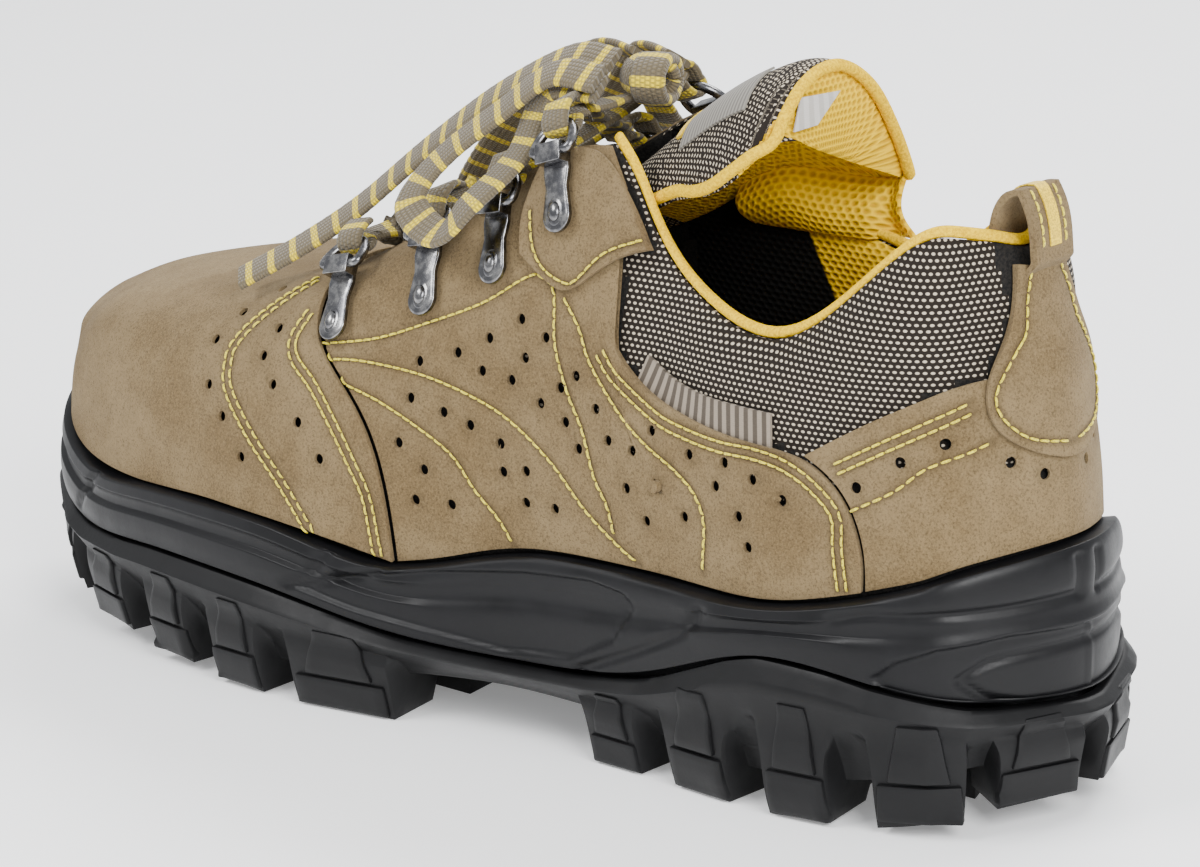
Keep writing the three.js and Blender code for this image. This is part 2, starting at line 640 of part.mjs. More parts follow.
function tongue() {
  const units = {
    at: length, top: instepHeight, lateral: ballWidth, medial: ballWidth,
    fallLateral: ballWidth, fallMedial: ballWidth, thick: tonguePad,
  };
  const curve = (name) => tongueSections.map((row, i) => new THREE.Vector2(i, row[name] * units[name]));
  const curves = Object.fromEntries(Object.keys(units).map((name) => [name, new THREE.SplineCurve(curve(name))]));
  const value = (name, u) => curves[name].getPoint(u).y;
  const across = [-1, -0.8, -0.5, -0.15, 0.2, 0.55, 0.82, 1];
  const skin = (u, v, below) => {
    const side = v < 0 ? "lateral" : "medial";
    const fall = value(v < 0 ? "fallLateral" : "fallMedial", u);
    const thick = value("thick", u) * (0.35 + 0.65 * Math.sqrt(1 - Math.min(1, v * v * 0.98)));
    const [before, after] = [Math.max(0, u - 0.02), Math.min(1, u + 0.02)];
    const rise = (name) => value(name, after) - value(name, before);
    const slope = new THREE.Vector2(-rise("at"), rise("top")).normalize();
    return new THREE.Vector3(
      length / 2 - value("at", u) + below * thick * slope.y,
      v * value(side, u),
      value("top", u) - fall * Math.abs(v) ** 2.3 - below * thick * slope.x,
    );
  };
  const count = 15;
  const loops = Array.from({ length: count + 1 }, (_, i) => {
    const u = i / count;
    return [...across.map((v) => skin(u, v, 0)), ...[...across].reverse().map((v) => skin(u, v, 1))];
  });
  return bandSolid(loops, false);
}

// The lace rings on each side: the plate's lower end and its fold by section and share, and the level it lies on.
const plateRows = [
  { name: "1", lowK: 6.74, lowT: 0.66, foldK: 6.93, foldT: 0.79, base: 0 },
  { name: "2", lowK: 6.03, lowT: 0.7, foldK: 6.2, foldT: 0.83, base: 0 },
  { name: "3", lowK: 5.5, lowT: 0.735, foldK: 5.68, foldT: 0.87, base: 0 },
  { name: "4", lowK: 5.04, lowT: 0.82, foldK: 5.28, foldT: 0.945, base: lap + clearance },
];
const plateLength = 15;
const plateWidth = 8.4;
const plateThick = 1.1;
const wire = 1.1;
const ringWidth = 10;
const ringReach = 7.5;
const ringTilt = -0.45;

// A frame on the form for a plate: origin at its fold, y up along the plate and z away from the shoe.
function plateFrame({ lowK, lowT, foldK, foldT, base }, mirrored) {
  const side = (k) => (mirrored ? ringCount - k : k);
  const low = onForm(side(lowK), lowT, base);
  const fold = onForm(side(foldK), foldT, base);
  const up = fold.clone().sub(low).normalize();
  const midK = side((lowK + foldK) / 2);
  const out = formNormal(wrap(midK) / ringCount, (lowT + foldT) / 2);
  out.addScaledVector(up, -out.dot(up)).normalize();
  const right = up.clone().cross(out);
  let rise = 0;
  for (let i = -1; i <= 8; i++) {
    for (const aside of [-0.16, 0, 0.16]) {
      const share = THREE.MathUtils.lerp(foldT, lowT, i / 7);
      const k = side(THREE.MathUtils.lerp(foldK, lowK, i / 7) + aside);
      rise = Math.max(rise, onForm(k, share, base).sub(fold).dot(out));
    }
  }
  const origin = fold.addScaledVector(out, rise + clearance);
  return new THREE.Matrix4().makeBasis(right, up, out).setPosition(origin);
}

function plate() {
  const half = plateWidth / 2;
  const outlineShape = new THREE.Shape();
  outlineShape.moveTo(-half * 0.86, 0.6);
  outlineShape.lineTo(-half * 0.72, -plateLength * 0.38);
  outlineShape.absarc(0, -plateLength + half * 0.9, half * 0.9, Math.PI, 2 * Math.PI, false);
  outlineShape.lineTo(half * 0.72, -plateLength * 0.38);
  outlineShape.lineTo(half * 0.86, 0.6);
  const blade = new THREE.ExtrudeGeometry(outlineShape, { depth: plateThick, bevelEnabled: false, curveSegments: 4 });
  const oval = new THREE.Shape().absellipse(0, 0, half * 0.42, half * 0.6, 0, 2 * Math.PI, false, 0);
  const button = new THREE.ExtrudeGeometry(oval, { depth: 0.9, bevelEnabled: false, curveSegments: 2 });
  button.translate(0, -plateLength + half * 1.05, plateThick - 0.2);
  const fold = new THREE.Shape().absarc(0, 0, wire + 1.5, 0, 2 * Math.PI, false);
  fold.holes.push(new THREE.Path().absarc(0, 0, wire + 0.7, 0, 2 * Math.PI, true));
  const hinge = new THREE.ExtrudeGeometry(fold, { depth: plateWidth * 0.8, bevelEnabled: false, curveSegments: 3 });
  hinge.rotateY(Math.PI / 2).translate(-plateWidth * 0.4, wire + 1.4, wire + 1.4);
  return joined([blade, button, hinge]);
}

function laceRing() {
  const half = ringWidth / 2;
  const path = [
    [-half, 0], [-half * 0.3, 0], [half * 0.3, 0], [half, 0], [half * 0.98, ringReach * 0.5],
    [half * 0.55, ringReach * 0.92], [0, ringReach], [-half * 0.55, ringReach * 0.92], [-half * 0.98, ringReach * 0.5],
  ].map(([x, y]) => new THREE.Vector3(x, y * Math.cos(ringTilt), y * Math.sin(ringTilt)));
  const out = new THREE.Vector3(0, -Math.sin(ringTilt), Math.cos(ringTilt));
  return strap(path, () => out, 2 * wire, 2 * wire, 9, roundBand, true).translate(0, wire + 1.4, wire + 1.4);
}

// The middle of a ring's free end, moved on by reach, in the shoe's frame.
function ringTip(row, mirrored, reach) {
  const y = ringReach + reach;
  const tip = new THREE.Vector3(0, wire + 1.4 + y * Math.cos(ringTilt), wire + 1.4 + y * Math.sin(ringTilt));
  return tip.applyMatrix4(plateFrame(row, mirrored));
}

const laceWidth = 8;
const laceThick = 2.2;
const upward = new THREE.Vector3(0, 0, 1);

// A strand of lace from a ring on one side over the tongue to a ring on the other, ending short of both.
function strand(fromRow, toRow, mirrored, sag) {
  const [from, to] = [ringTip(fromRow, mirrored, 2.8), ringTip(toRow, !mirrored, 2.8)];
  const path = [0, 0.25, 0.5, 0.75, 1].map((u) => {
    return from.clone().lerp(to, u).addScaledVector(upward, -sag * Math.sin(u * Math.PI) ** 4);
  });
  return strap(path, () => upward, laceWidth * 0.8, laceThick, 6, flatBand);
}

const knotCentre = new THREE.Vector3(31.2, 0, 140.4);
function laceKnot() {
  const turn = (tilt, radius, shift) => {
    const path = Array.from({ length: 10 }, (_, i) => {
      const a = (i / 10) * 2 * Math.PI;
      const p = new THREE.Vector3(shift, radius * Math.cos(a), radius * 0.8 * Math.sin(a));
      return p.applyAxisAngle(upward, tilt).add(knotCentre);
    });
    const away = (u) => {
      const a = u * 2 * Math.PI;
      return new THREE.Vector3(0, Math.cos(a), Math.sin(a)).applyAxisAngle(upward, tilt);
    };
    return strap(path, away, laceWidth, 3.2, 9, flatBand, true);
  };
  return joined([turn(0.35, 5.6, 1), turn(-0.5, 4.8, -1.5)]);
}

// Loose cords by side: shares of instepHeight for x, y and z, y outwards. The medial ones are their mirror image.
const bowLoop = [
  { x: 0.208, y: 0.096, z: 1.084 },
  { x: 0.124, y: 0.115, z: 1.086 },
  { x: 0.037, y: 0.153, z: 1.020 },
  { x: -0.037, y: 0.198, z: 0.955 },
  { x: -0.069, y: 0.244, z: 0.901 },
  { x: -0.055, y: 0.275, z: 0.867 },
  { x: 0.023, y: 0.290, z: 0.841 },
  { x: 0.071, y: 0.267, z: 0.892 },
  { x: 0.100, y: 0.176, z: 0.962 },
  { x: 0.112, y: 0.111, z: 1.057 },
  { x: 0.209, y: 0.090, z: 1.066 },
];
const laceEnd = [
  { x: 0.184, y: 0.034, z: 1.098 },
  { x: 0.097, y: 0.044, z: 1.099 },
  { x: -0.045, y: 0.069, z: 1.026 },
  { x: -0.185, y: 0.099, z: 0.925 },
  { x: -0.315, y: 0.145, z: 0.813 },
  { x: -0.404, y: 0.206, z: 0.743 },
  { x: -0.495, y: 0.267, z: 0.684 },
];

function looseCord(rows, mirrored, samples) {
  const side = mirrored ? 1 : -1;
  const path = rows.map(({ x, y, z }) => new THREE.Vector3(x, side * y, z).multiplyScalar(instepHeight));
  const facing = new THREE.Vector3(-0.1, 0.55 * side, 0.8);
  return strap(path, () => facing, laceWidth, laceThick, samples, flatBand);
}

// The lace from ring to ring, straight across at the front and then crossing.
function lacing() {
  const crossings = plateRows.slice(0, -1).flatMap((row, i) => [
    strand(row, plateRows[i + 1], false, 3),
    strand(row, plateRows[i + 1], true, 1.6),
  ]);
  return joined([strand(plateRows[0], plateRows[0], false, 1), ...crossings]);
}

const finish = (color, roughness, metalness = 0) => new THREE.MeshStandardMaterial({ color, roughness, metalness });
const finishes = {
  suede: finish(0x8f7d5e, 0.95),
  mesh: finish(0x1d1c1c, 0.9),
  rubber: finish(0x1b1c1e, 0.55),
  foam: finish(0x24262a, 0.6),
  footbed: finish(0x141414, 0.85),
  yellow: finish(0xe8ae12, 0.9),
  lace: finish(0x857a58, 0.9),
  steel: finish(0x6d7075, 0.3, 0.9),
};

const shoe = new THREE.Group();
shoe.name = "safety_shoe";
function add(name, geometry, material) {
  const mesh = new THREE.Mesh(geometry, finishes[material]);
  mesh.name = name;
  shoe.add(mesh);
}

const lugMarks = lugs.flatMap(({ from, to }) => [from - lugSlope, from + lugSlope, to - lugSlope, to + lugSlope]);
const evenly = (count) => Array.from({ length: count }, (_, i) => (i * ringCount) / count);
const plainSole = stackedSolid(roundSole(lugMarks, 0.9), outsoleLevels());
add("outsole", joined([plainSole, ...treadBars.map(treadBar)]), "rubber");
add("midsole", stackedSolid(evenly(66), midsoleLevels()), "foam");
add("insole", stackedSolid(evenly(44), insoleLevels()), "footbed");
add("upper", bandSolid(evenly(66).reverse().map(upperLoop), true), "mesh");

const suedeBack = flat(-suede);
const vampRear = shifted(vampEdge, 0.015);
add(
  "vamp",
  sheet(
    {
      foot: alongFeather(vampRear[0].k, ringCount - vampRear[0].k),
      top: [7.61, 9, 11, 13, 14.39].map((k) => ({ k, t: 0.99 })),
      rear: vampRear,
      front: otherSide(vampRear),
    },
    30, 7, flat(-0.2), flat(0.9),
  ),
  "suede",
);
for (const mirrored of [false, true]) {
  const side = mirrored ? "medial" : "lateral";
  const quarterFront = shifted(vampEdge, -0.015);
  add(
    `quarter_${side}`,
    sheet(
      {
        foot: alongFeather(quarterRear[0].k, quarterFront[0].k),
        top: quarterTop.map(({ k, t }, i, all) => ({ k: i === all.length - 1 ? 7.59 : k, t })),
        rear: quarterRear,
        front: quarterFront,
      },
      18, 7, suedeBack, flat(0), mirrored,
    ),
    "suede",
  );
  add(
    `facing_${side}`,
    sheet({ foot: facingFoot, top: facingTop, rear: facingRear, front: facingFront }, 6, 4,
      (k) => (k < 4.5 ? -suede : clearance), flat(lap), mirrored),
    "suede",
  );
}
const counterEdge = shifted(quarterRear, -0.03);
add(
  "counter",
  sheet(
    {
      foot: alongFeather(-counterEdge[0].k, counterEdge[0].k),
      top: bothSides(shifted(counterTop, 0).map(({ k, t }, i, all) => ({ k: i === all.length - 1 ? k - 0.03 : k, t }))),
      rear: otherSide(counterEdge, 0),
      front: counterEdge,
    },
    18, 5, suedeBack, flat(-clearance),
  ),
  "suede",
);
add(
  "heel_patch",
  sheet({ foot: bothSides(patchFoot), top: bothSides(patchTop), rear: otherSide(patchSide, 0), front: patchSide }, 6, 7,
    (k, t) => (t < 0.76 ? 0 : outerLevel(k, t) + clearance), flat(lap)),
  "suede",
);
add("collar_piping", piping(), "yellow");
add("pull_loop", pullLoop(), "suede");
add("tongue", tongue(), "mesh");

const sides = [{ name: "lateral", mirrored: false }, { name: "medial", mirrored: true }];
for (const { name, mirrored } of sides) {
  for (const row of plateRows) {
    add(`lace_plate_${name}_${row.name}`, plate().applyMatrix4(plateFrame(row, mirrored)), "steel");
    add(`lace_ring_${name}_${row.name}`, laceRing().applyMatrix4(plateFrame(row, mirrored)), "steel");
  }
}
add("lacing", lacing(), "lace");
add("lace_knot", laceKnot(), "lace");
for (const { name, mirrored } of sides) {
  add(`lace_loop_${name}`, looseCord(bowLoop, mirrored, 15), "lace");
  add(`lace_end_${name}`, looseCord(laceEnd, mirrored, 11), "lace");
}

export default shoe;
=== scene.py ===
import math

import bpy
from mathutils import Matrix, Vector, kdtree, noise
from mathutils.bvhtree import BVHTree


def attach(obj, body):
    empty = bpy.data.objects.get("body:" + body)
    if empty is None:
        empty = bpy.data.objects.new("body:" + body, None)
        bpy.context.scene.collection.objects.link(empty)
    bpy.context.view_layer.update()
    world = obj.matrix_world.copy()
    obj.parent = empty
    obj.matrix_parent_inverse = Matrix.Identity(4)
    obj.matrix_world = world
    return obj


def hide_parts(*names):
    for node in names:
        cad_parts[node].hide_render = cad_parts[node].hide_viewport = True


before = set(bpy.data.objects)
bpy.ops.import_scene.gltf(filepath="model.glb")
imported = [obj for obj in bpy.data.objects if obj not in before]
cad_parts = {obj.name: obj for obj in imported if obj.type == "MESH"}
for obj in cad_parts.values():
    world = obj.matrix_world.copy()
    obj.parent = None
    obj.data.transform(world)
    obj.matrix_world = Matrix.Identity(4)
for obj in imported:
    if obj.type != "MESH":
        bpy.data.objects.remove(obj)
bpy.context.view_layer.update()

MM = 0.001
BODY = "root"


# Studio and camera

def photo_camera():
    """The photograph's own viewpoint: the outer side, seen from behind and above through a long lens."""
    turn, rise, roll = (math.radians(v) for v in (43.5, 16.2, -2.2))
    back = Vector((math.sin(turn) * math.cos(rise), -math.cos(turn) * math.cos(rise), math.sin(rise)))
    right = Vector((math.cos(turn), math.sin(turn), 0))
    up = back.cross(right)
    across = right * math.cos(roll) + up * math.sin(roll)
    upright = up * math.cos(roll) - right * math.sin(roll)
    place = Matrix((across, upright, back)).transposed().to_4x4()
    place.translation = Vector((7.95, 4.0, 56.6)) * MM + back * 1.016
    bpy.ops.object.camera_add()
    camera = bpy.context.object
    camera.matrix_world = place
    camera.data.lens = 137.2
    camera.data.sensor_width = 36
    bpy.context.scene.camera = camera


# Each softbox: place and size in metres, and power in watts.
SOFTBOXES = [
    ((-0.5, -0.9, 1.1), (0.7, 0.5), 17),
    ((1.1, -0.5, 0.8), (0.6, 0.6), 24),
    ((-0.1, 1.0, 1.25), (1.2, 0.6), 30),
]


def softbox(place, size, power, aim=(0, 0, 0.05)):
    bpy.ops.object.light_add(type="AREA", location=place)
    lamp = bpy.context.object
    lamp.data.shape = "RECTANGLE"
    lamp.data.size, lamp.data.size_y = size
    lamp.data.energy = power
    lamp.rotation_euler = (Vector(aim) - Vector(place)).to_track_quat("-Z", "Y").to_euler()


def studio():
    for place, size, power in SOFTBOXES:
        softbox(place, size, power)
    world = bpy.data.worlds.new("studio")
    bpy.context.scene.world = world
    world.use_nodes = True
    world.node_tree.nodes["Background"].inputs["Color"].default_value = (0.95, 0.97, 1.0, 1)
    world.node_tree.nodes["Background"].inputs["Strength"].default_value = 0.95
    bpy.ops.mesh.primitive_plane_add(size=8, location=(0, 0, -0.0002))
    floor = bpy.context.object
    floor.name = "floor"
    paint = Finish("pale_floor", roughness=0.55)
    paint.colour(paint.mixed(paint.noise(0.02, 2), (0.94, 0.945, 0.95), (0.97, 0.97, 0.975)))
    paint.shader.inputs["Emission Color"].default_value = (1, 1, 1, 1)
    paint.shader.inputs["Emission Strength"].default_value = 0.22
    floor.data.materials.append(paint.material)


# Finishes

class Finish:
    """A material built from nodes on the piece's own millimetres."""

    def __init__(self, name, **fixed):
        self.material = bpy.data.materials.new(name)
        self.material.use_nodes = True
        self.tree = self.material.node_tree
        self.shader = self.tree.nodes["Principled BSDF"]
        for key, value in fixed.items():
            self.shader.inputs[key.replace("_", " ").title().replace("Ior", "IOR")].default_value = value
        place = self.tree.nodes.new("ShaderNodeTexCoord")
        self.scaled = self.tree.nodes.new("ShaderNodeMapping")
        self.scaled.inputs["Scale"].default_value = (1000, 1000, 1000)
        self.tree.links.new(place.outputs["Object"], self.scaled.inputs["Vector"])
        self.coords = self.scaled.outputs["Vector"]

    def link(self, value, socket):
        if isinstance(value, bpy.types.NodeSocket):
            self.tree.links.new(value, socket)
        else:
            socket.default_value = value

    def noise(self, scale, detail=3, roughness=0.55, stretch=None):
        node = self.tree.nodes.new("ShaderNodeTexNoise")
        node.inputs["Scale"].default_value = scale
        node.inputs["Detail"].default_value = detail
        node.inputs["Roughness"].default_value = roughness
        coords = self.coords
        if stretch:
            mapping = self.tree.nodes.new("ShaderNodeMapping")
            mapping.inputs["Scale"].default_value = stretch
            self.tree.links.new(coords, mapping.inputs["Vector"])
            coords = mapping.outputs["Vector"]
        self.tree.links.new(coords, node.inputs["Vector"])
        return node.outputs["Fac"]

    def sum(self, kind, a, b=0.0, c=0.0):
        node = self.tree.nodes.new("ShaderNodeMath")
        node.operation = kind
        for value, socket in zip((a, b, c), node.inputs):
            self.link(value, socket)
        return node.outputs[0]

    def between(self, value, low, high):
        node = self.tree.nodes.new("ShaderNodeMapRange")
        node.interpolation_type = "SMOOTHSTEP"
        self.link(value, node.inputs["Value"])
        node.inputs["From Min"].default_value = low
        node.inputs["From Max"].default_value = high
        return node.outputs["Result"]

    def mixed(self, share, first, second):
        node = self.tree.nodes.new("ShaderNodeMix")
        node.data_type = "RGBA"
        self.link(share, node.inputs["Factor"])
        for value, socket in ((first, node.inputs["A"]), (second, node.inputs["B"])):
            self.link((*value, 1) if isinstance(value, tuple) else value, socket)
        return node.outputs["Result"]

    def attribute(self, name):
        node = self.tree.nodes.new("ShaderNodeAttribute")
        node.attribute_name = name
        return node.outputs["Fac"]

    def weave(self):
        """The piece's own woven coordinates in millimetres: along and across."""
        node = self.tree.nodes.new("ShaderNodeUVMap")
        node.uv_map = "weave"
        split = self.tree.nodes.new("ShaderNodeSeparateXYZ")
        self.tree.links.new(node.outputs["UV"], split.inputs["Vector"])
        along = self.sum("MULTIPLY", split.outputs["X"], 1000.0)
        return along, self.sum("MULTIPLY", split.outputs["Y"], 1000.0)

    def saw(self, value, pitch):
        """A wave over a value, 0.5 at each multiple of the pitch and 0 halfway between."""
        share = self.sum("FRACT", self.sum("DIVIDE", value, pitch))
        return self.sum("ABSOLUTE", self.sum("SUBTRACT", share, 0.5))

    def staggered(self, along, across, wide=1.0, high=1.0):
        """The distance from the middle of a cell, in woven rows that each start half a cell on."""
        u, v = self.weave()
        v = self.sum("DIVIDE", v, across)
        shift = self.sum("MULTIPLY", self.sum("MODULO", self.sum("FLOOR", v), 2.0), 0.5)
        u = self.sum("ADD", self.sum("DIVIDE", u, along), self.sum("ABSOLUTE", shift))
        du = self.sum("MULTIPLY", self.sum("SUBTRACT", self.sum("FRACT", u), 0.5), wide)
        dv = self.sum("MULTIPLY", self.sum("SUBTRACT", self.sum("FRACT", v), 0.5), high)
        return self.sum("SQRT", self.sum("ADD", self.sum("MULTIPLY", du, du), self.sum("MULTIPLY", dv, dv)))

    def colour(self, value):
        self.link(value, self.shader.inputs["Base Color"])

    def rough(self, value):
        self.link(value, self.shader.inputs["Roughness"])

    def bump(self, height, strength, depth):
        node = self.tree.nodes.new("ShaderNodeBump")
        node.inputs["Strength"].default_value = strength
        node.inputs["Distance"].default_value = depth * MM
        self.tree.links.new(height, node.inputs["Height"])
        if self.shader.inputs["Normal"].is_linked:
            self.tree.links.new(self.shader.inputs["Normal"].links[0].from_socket, node.inputs["Normal"])
        self.tree.links.new(node.outputs["Normal"], self.shader.inputs["Normal"])


def suede_finish(name, dark, middle, light):
    suede = Finish(name, roughness=0.95, sheen_weight=0.1, sheen_roughness=0.5, specular_ior_level=0.15)
    suede.shader.inputs["Sheen Tint"].default_value = (0.9, 0.78, 0.58, 1)
    cloud = suede.between(suede.noise(0.045, 4, 0.6), 0.33, 0.68)
    nap = suede.between(suede.noise(0.3, 4, 0.65), 0.38, 0.66)
    grain = suede.noise(1.9, 4, 0.8)
    tone = suede.mixed(cloud, middle, light)
    tone = suede.mixed(suede.sum("MULTIPLY", nap, 0.14), tone, dark)
    tone = suede.mixed(suede.sum("MULTIPLY", suede.between(grain, 0.48, 0.66), 0.62), tone, dark)
    tone = suede.mixed(suede.sum("MULTIPLY", suede.between(grain, 0.5, 0.34), 0.6), tone, light)
    # painted shade: the suede darkens in the stitched troughs and in the dents round the punched holes
    tone = suede.mixed(suede.sum("MULTIPLY", suede.attribute("pressed_shade"), 0.5), tone, dark)
    suede.colour(tone)
    suede.bump(grain, 0.7, 0.3)
    suede.bump(nap, 0.25, 0.25)
    return suede.material


def dotted_mesh_finish(name, across, along, dot_across, dot_along, ground, dot):
    """A dark mesh with pale threads showing in staggered rows."""
    mesh = Finish(name, roughness=0.85, specular_ior_level=0.2)
    off = mesh.staggered(along, across, along / dot_along, across / dot_across)
    patch = mesh.between(off, 0.62, 0.4)
    fibre = mesh.noise(5.0, 2, 0.6)
    mesh.colour(mesh.mixed(patch, mesh.mixed(fibre, ground, tuple(3 * c for c in ground)),
                           mesh.mixed(fibre, tuple(0.6 * c for c in dot), dot)))
    mesh.bump(mesh.between(off, 0.9, 0.2), 0.6, 0.35)
    mesh.bump(fibre, 0.3, 0.12)
    return mesh.material


def knit_finish(name, low, high, pitch=2.3, shade_depth=None):
    """A fleecy knit with small pits in staggered rows, darker in the pits as painted shade, and turning near
    black as painted shade in front of a given depth into the shoe.
    """
    knit = Finish(name, roughness=0.95, specular_ior_level=0.15)
    off = knit.staggered(pitch, pitch * 0.62)
    pit = knit.between(off, 0.48, 0.1)
    fluff = knit.noise(2.6, 4, 0.7)
    # painted shade: each pit darkens towards the low tone
    tone = knit.mixed(knit.sum("MULTIPLY", pit, 0.8), high, low)
    tone = knit.mixed(knit.sum("MULTIPLY", fluff, 0.35), tone, low)
    if shade_depth:
        split = knit.tree.nodes.new("ShaderNodeSeparateXYZ")
        knit.link(knit.coords, split.inputs["Vector"])
        deep = knit.sum("ADD", split.outputs["X"], knit.sum("MULTIPLY", split.outputs["Z"], 0.35))
        # painted shade: near black towards the toe and lower down, in front of the given depth into the shoe
        tone = knit.mixed(knit.between(deep, shade_depth - 0.6, shade_depth + 0.6), (0.004, 0.0038, 0.0035), tone)
    knit.colour(tone)
    knit.bump(knit.between(off, 0.1, 0.55), 0.8, 0.6)
    knit.bump(fluff, 0.4, 0.25)
    return knit.material


def fleece_finish(name, low, high):
    fleece = Finish(name, roughness=0.95, specular_ior_level=0.15)
    loops = fleece.noise(1.5, 3, 0.7)
    fleece.colour(fleece.mixed(fleece.between(loops, 0.35, 0.62), low, high))
    fleece.bump(loops, 0.8, 0.5)
    return fleece.material


def rubber_finish(name, tone, gloss):
    rubber = Finish(name, specular_ior_level=0.2)
    stain = rubber.between(rubber.noise(0.05, 4, 0.6), 0.3, 0.72)
    grain = rubber.noise(1.6, 4, 0.65)
    rubber.colour(rubber.mixed(stain, tone, tuple(1.7 * c for c in tone)))
    worn = rubber.sum("MULTIPLY_ADD", stain, 0.14, gloss)
    rubber.rough(rubber.sum("MULTIPLY_ADD", grain, 0.12, worn))
    rubber.bump(grain, 0.16, 0.12)
    rubber.bump(rubber.noise(0.11, 3, 0.5), 0.25, 0.6)
    return rubber.material


def steel_finish():
    steel = Finish("dark_nickel", metallic=1.0)
    brushed = steel.noise(1.2, 4, 0.6, (1, 1, 6))
    wear = steel.between(steel.noise(0.4, 3, 0.6), 0.4, 0.7)
    steel.colour(steel.mixed(wear, (0.1, 0.1, 0.106), (0.27, 0.265, 0.26)))
    steel.rough(steel.sum("MULTIPLY_ADD", brushed, 0.2, 0.14))
    steel.bump(brushed, 0.12, 0.05)
    return steel.material


def thread_finish(name, low, high):
    thread = Finish(name, roughness=0.6, sheen_weight=0.2)
    twist = thread.noise(2.6, 2, 0.5, (1, 1, 1))
    thread.colour(thread.mixed(thread.between(twist, 0.35, 0.65), low, high))
    thread.bump(twist, 0.6, 0.15)
    return thread.material


def lace_finish():
    """A flat woven lace: taupe ribs with a yellow bar every few millimetres."""
    lace = Finish("striped_lace", roughness=0.9, sheen_weight=0.2)
    along, across = lace.weave()
    rib_width = 1.15
    rib = lace.sum("FLOOR", lace.sum("DIVIDE", across, rib_width))
    ridge = lace.between(lace.saw(across, rib_width), 0.5, 0.12)
    slant = lace.sum("ADD", along, lace.sum("MULTIPLY", rib, 0.35))
    weave = lace.sum("MULTIPLY", ridge, lace.between(lace.saw(slant, 0.75), 0.5, 0.15))
    yellow = lace.between(lace.saw(along, 5.9), 0.165, 0.13)
    fuzz = lace.noise(3.5, 3, 0.7)
    taupe = lace.mixed(fuzz, (0.075, 0.056, 0.028), (0.19, 0.15, 0.082))
    bright = lace.mixed(fuzz, (0.6, 0.43, 0.0), (0.95, 0.72, 0.0))
    tone = lace.mixed(yellow, taupe, bright)
    # painted shade: the hollows between the woven ribs darken towards dark brown
    hollow_shade = lace.sum("MULTIPLY", lace.sum("SUBTRACT", 1.0, weave), 0.55)
    lace.colour(lace.mixed(hollow_shade, tone, (0.05, 0.038, 0.02)))
    lace.bump(weave, 0.7, 0.35)
    return lace.material


def label_finish(name, low, high, pitch):
    label = Finish(name, roughness=0.8, sheen_weight=0.1)
    along, across = label.weave()
    label.colour(label.mixed(label.between(label.saw(along, pitch), 0.2, 0.3), low, high))
    label.bump(label.saw(across, 0.45), 0.4, 0.1)
    return label.material


# Modelling by hand

def pick_only(piece):
    bpy.ops.object.select_all(action="DESELECT")
    piece.select_set(True)
    bpy.context.view_layer.objects.active = piece


def apply_all(piece):
    pick_only(piece)
    for modifier in list(piece.modifiers):
        bpy.ops.object.modifier_apply(modifier=modifier.name)


def turn_faces_out(piece):
    pick_only(piece)
    bpy.ops.object.mode_set(mode="EDIT")
    bpy.ops.mesh.select_all(action="SELECT")
    bpy.ops.mesh.normals_make_consistent(inside=False)
    bpy.ops.object.mode_set(mode="OBJECT")


def joined(parts, name):
    """Several pieces made one."""
    bpy.ops.object.select_all(action="DESELECT")
    for part in parts:
        part.select_set(True)
    bpy.context.view_layer.objects.active = parts[0]
    bpy.ops.object.join()
    parts[0].name = name
    return parts[0]


def rounded(piece, width, segments, angle):
    """Rounds the edges that turn by more than an angle in degrees."""
    edge = piece.modifiers.new("edge", "BEVEL")
    edge.width, edge.segments, edge.limit_method = width, segments, "ANGLE"
    edge.angle_limit = math.radians(angle)
    apply_all(piece)


def finder(places):
    """A search tree over places."""
    tree = kdtree.KDTree(len(places))
    for i, place in enumerate(places):
        tree.insert(place, i)
    tree.balance()
    return tree


def grid_faces(count, rows):
    """The quads between count lines of rows + 1 points each."""
    return [(a, a + 1, a + rows + 2, a + rows + 1)
            for i in range(count - 1) for a in range(i * (rows + 1), i * (rows + 1) + rows)]


def new_mesh(name, points, faces):
    data = bpy.data.meshes.new(name)
    data.from_pydata([tuple(p) for p in points], [], faces)
    data.update()
    piece = bpy.data.objects.new(name, data)
    bpy.context.collection.objects.link(piece)
    return piece


def finish_piece(piece, slot, *materials, replaces=(), smooth=35):
    pick_only(piece)
    kept = [face.material_index for face in piece.data.polygons] if len(materials) > 1 else []
    if materials:
        piece.data.materials.clear()
    for material in materials:
        piece.data.materials.append(material)
    for face, index in zip(piece.data.polygons, kept):
        face.material_index = index
    bpy.ops.object.shade_smooth_by_angle(angle=math.radians(smooth))
    if replaces:
        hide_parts(*replaces)
    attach(piece, BODY)
    return piece


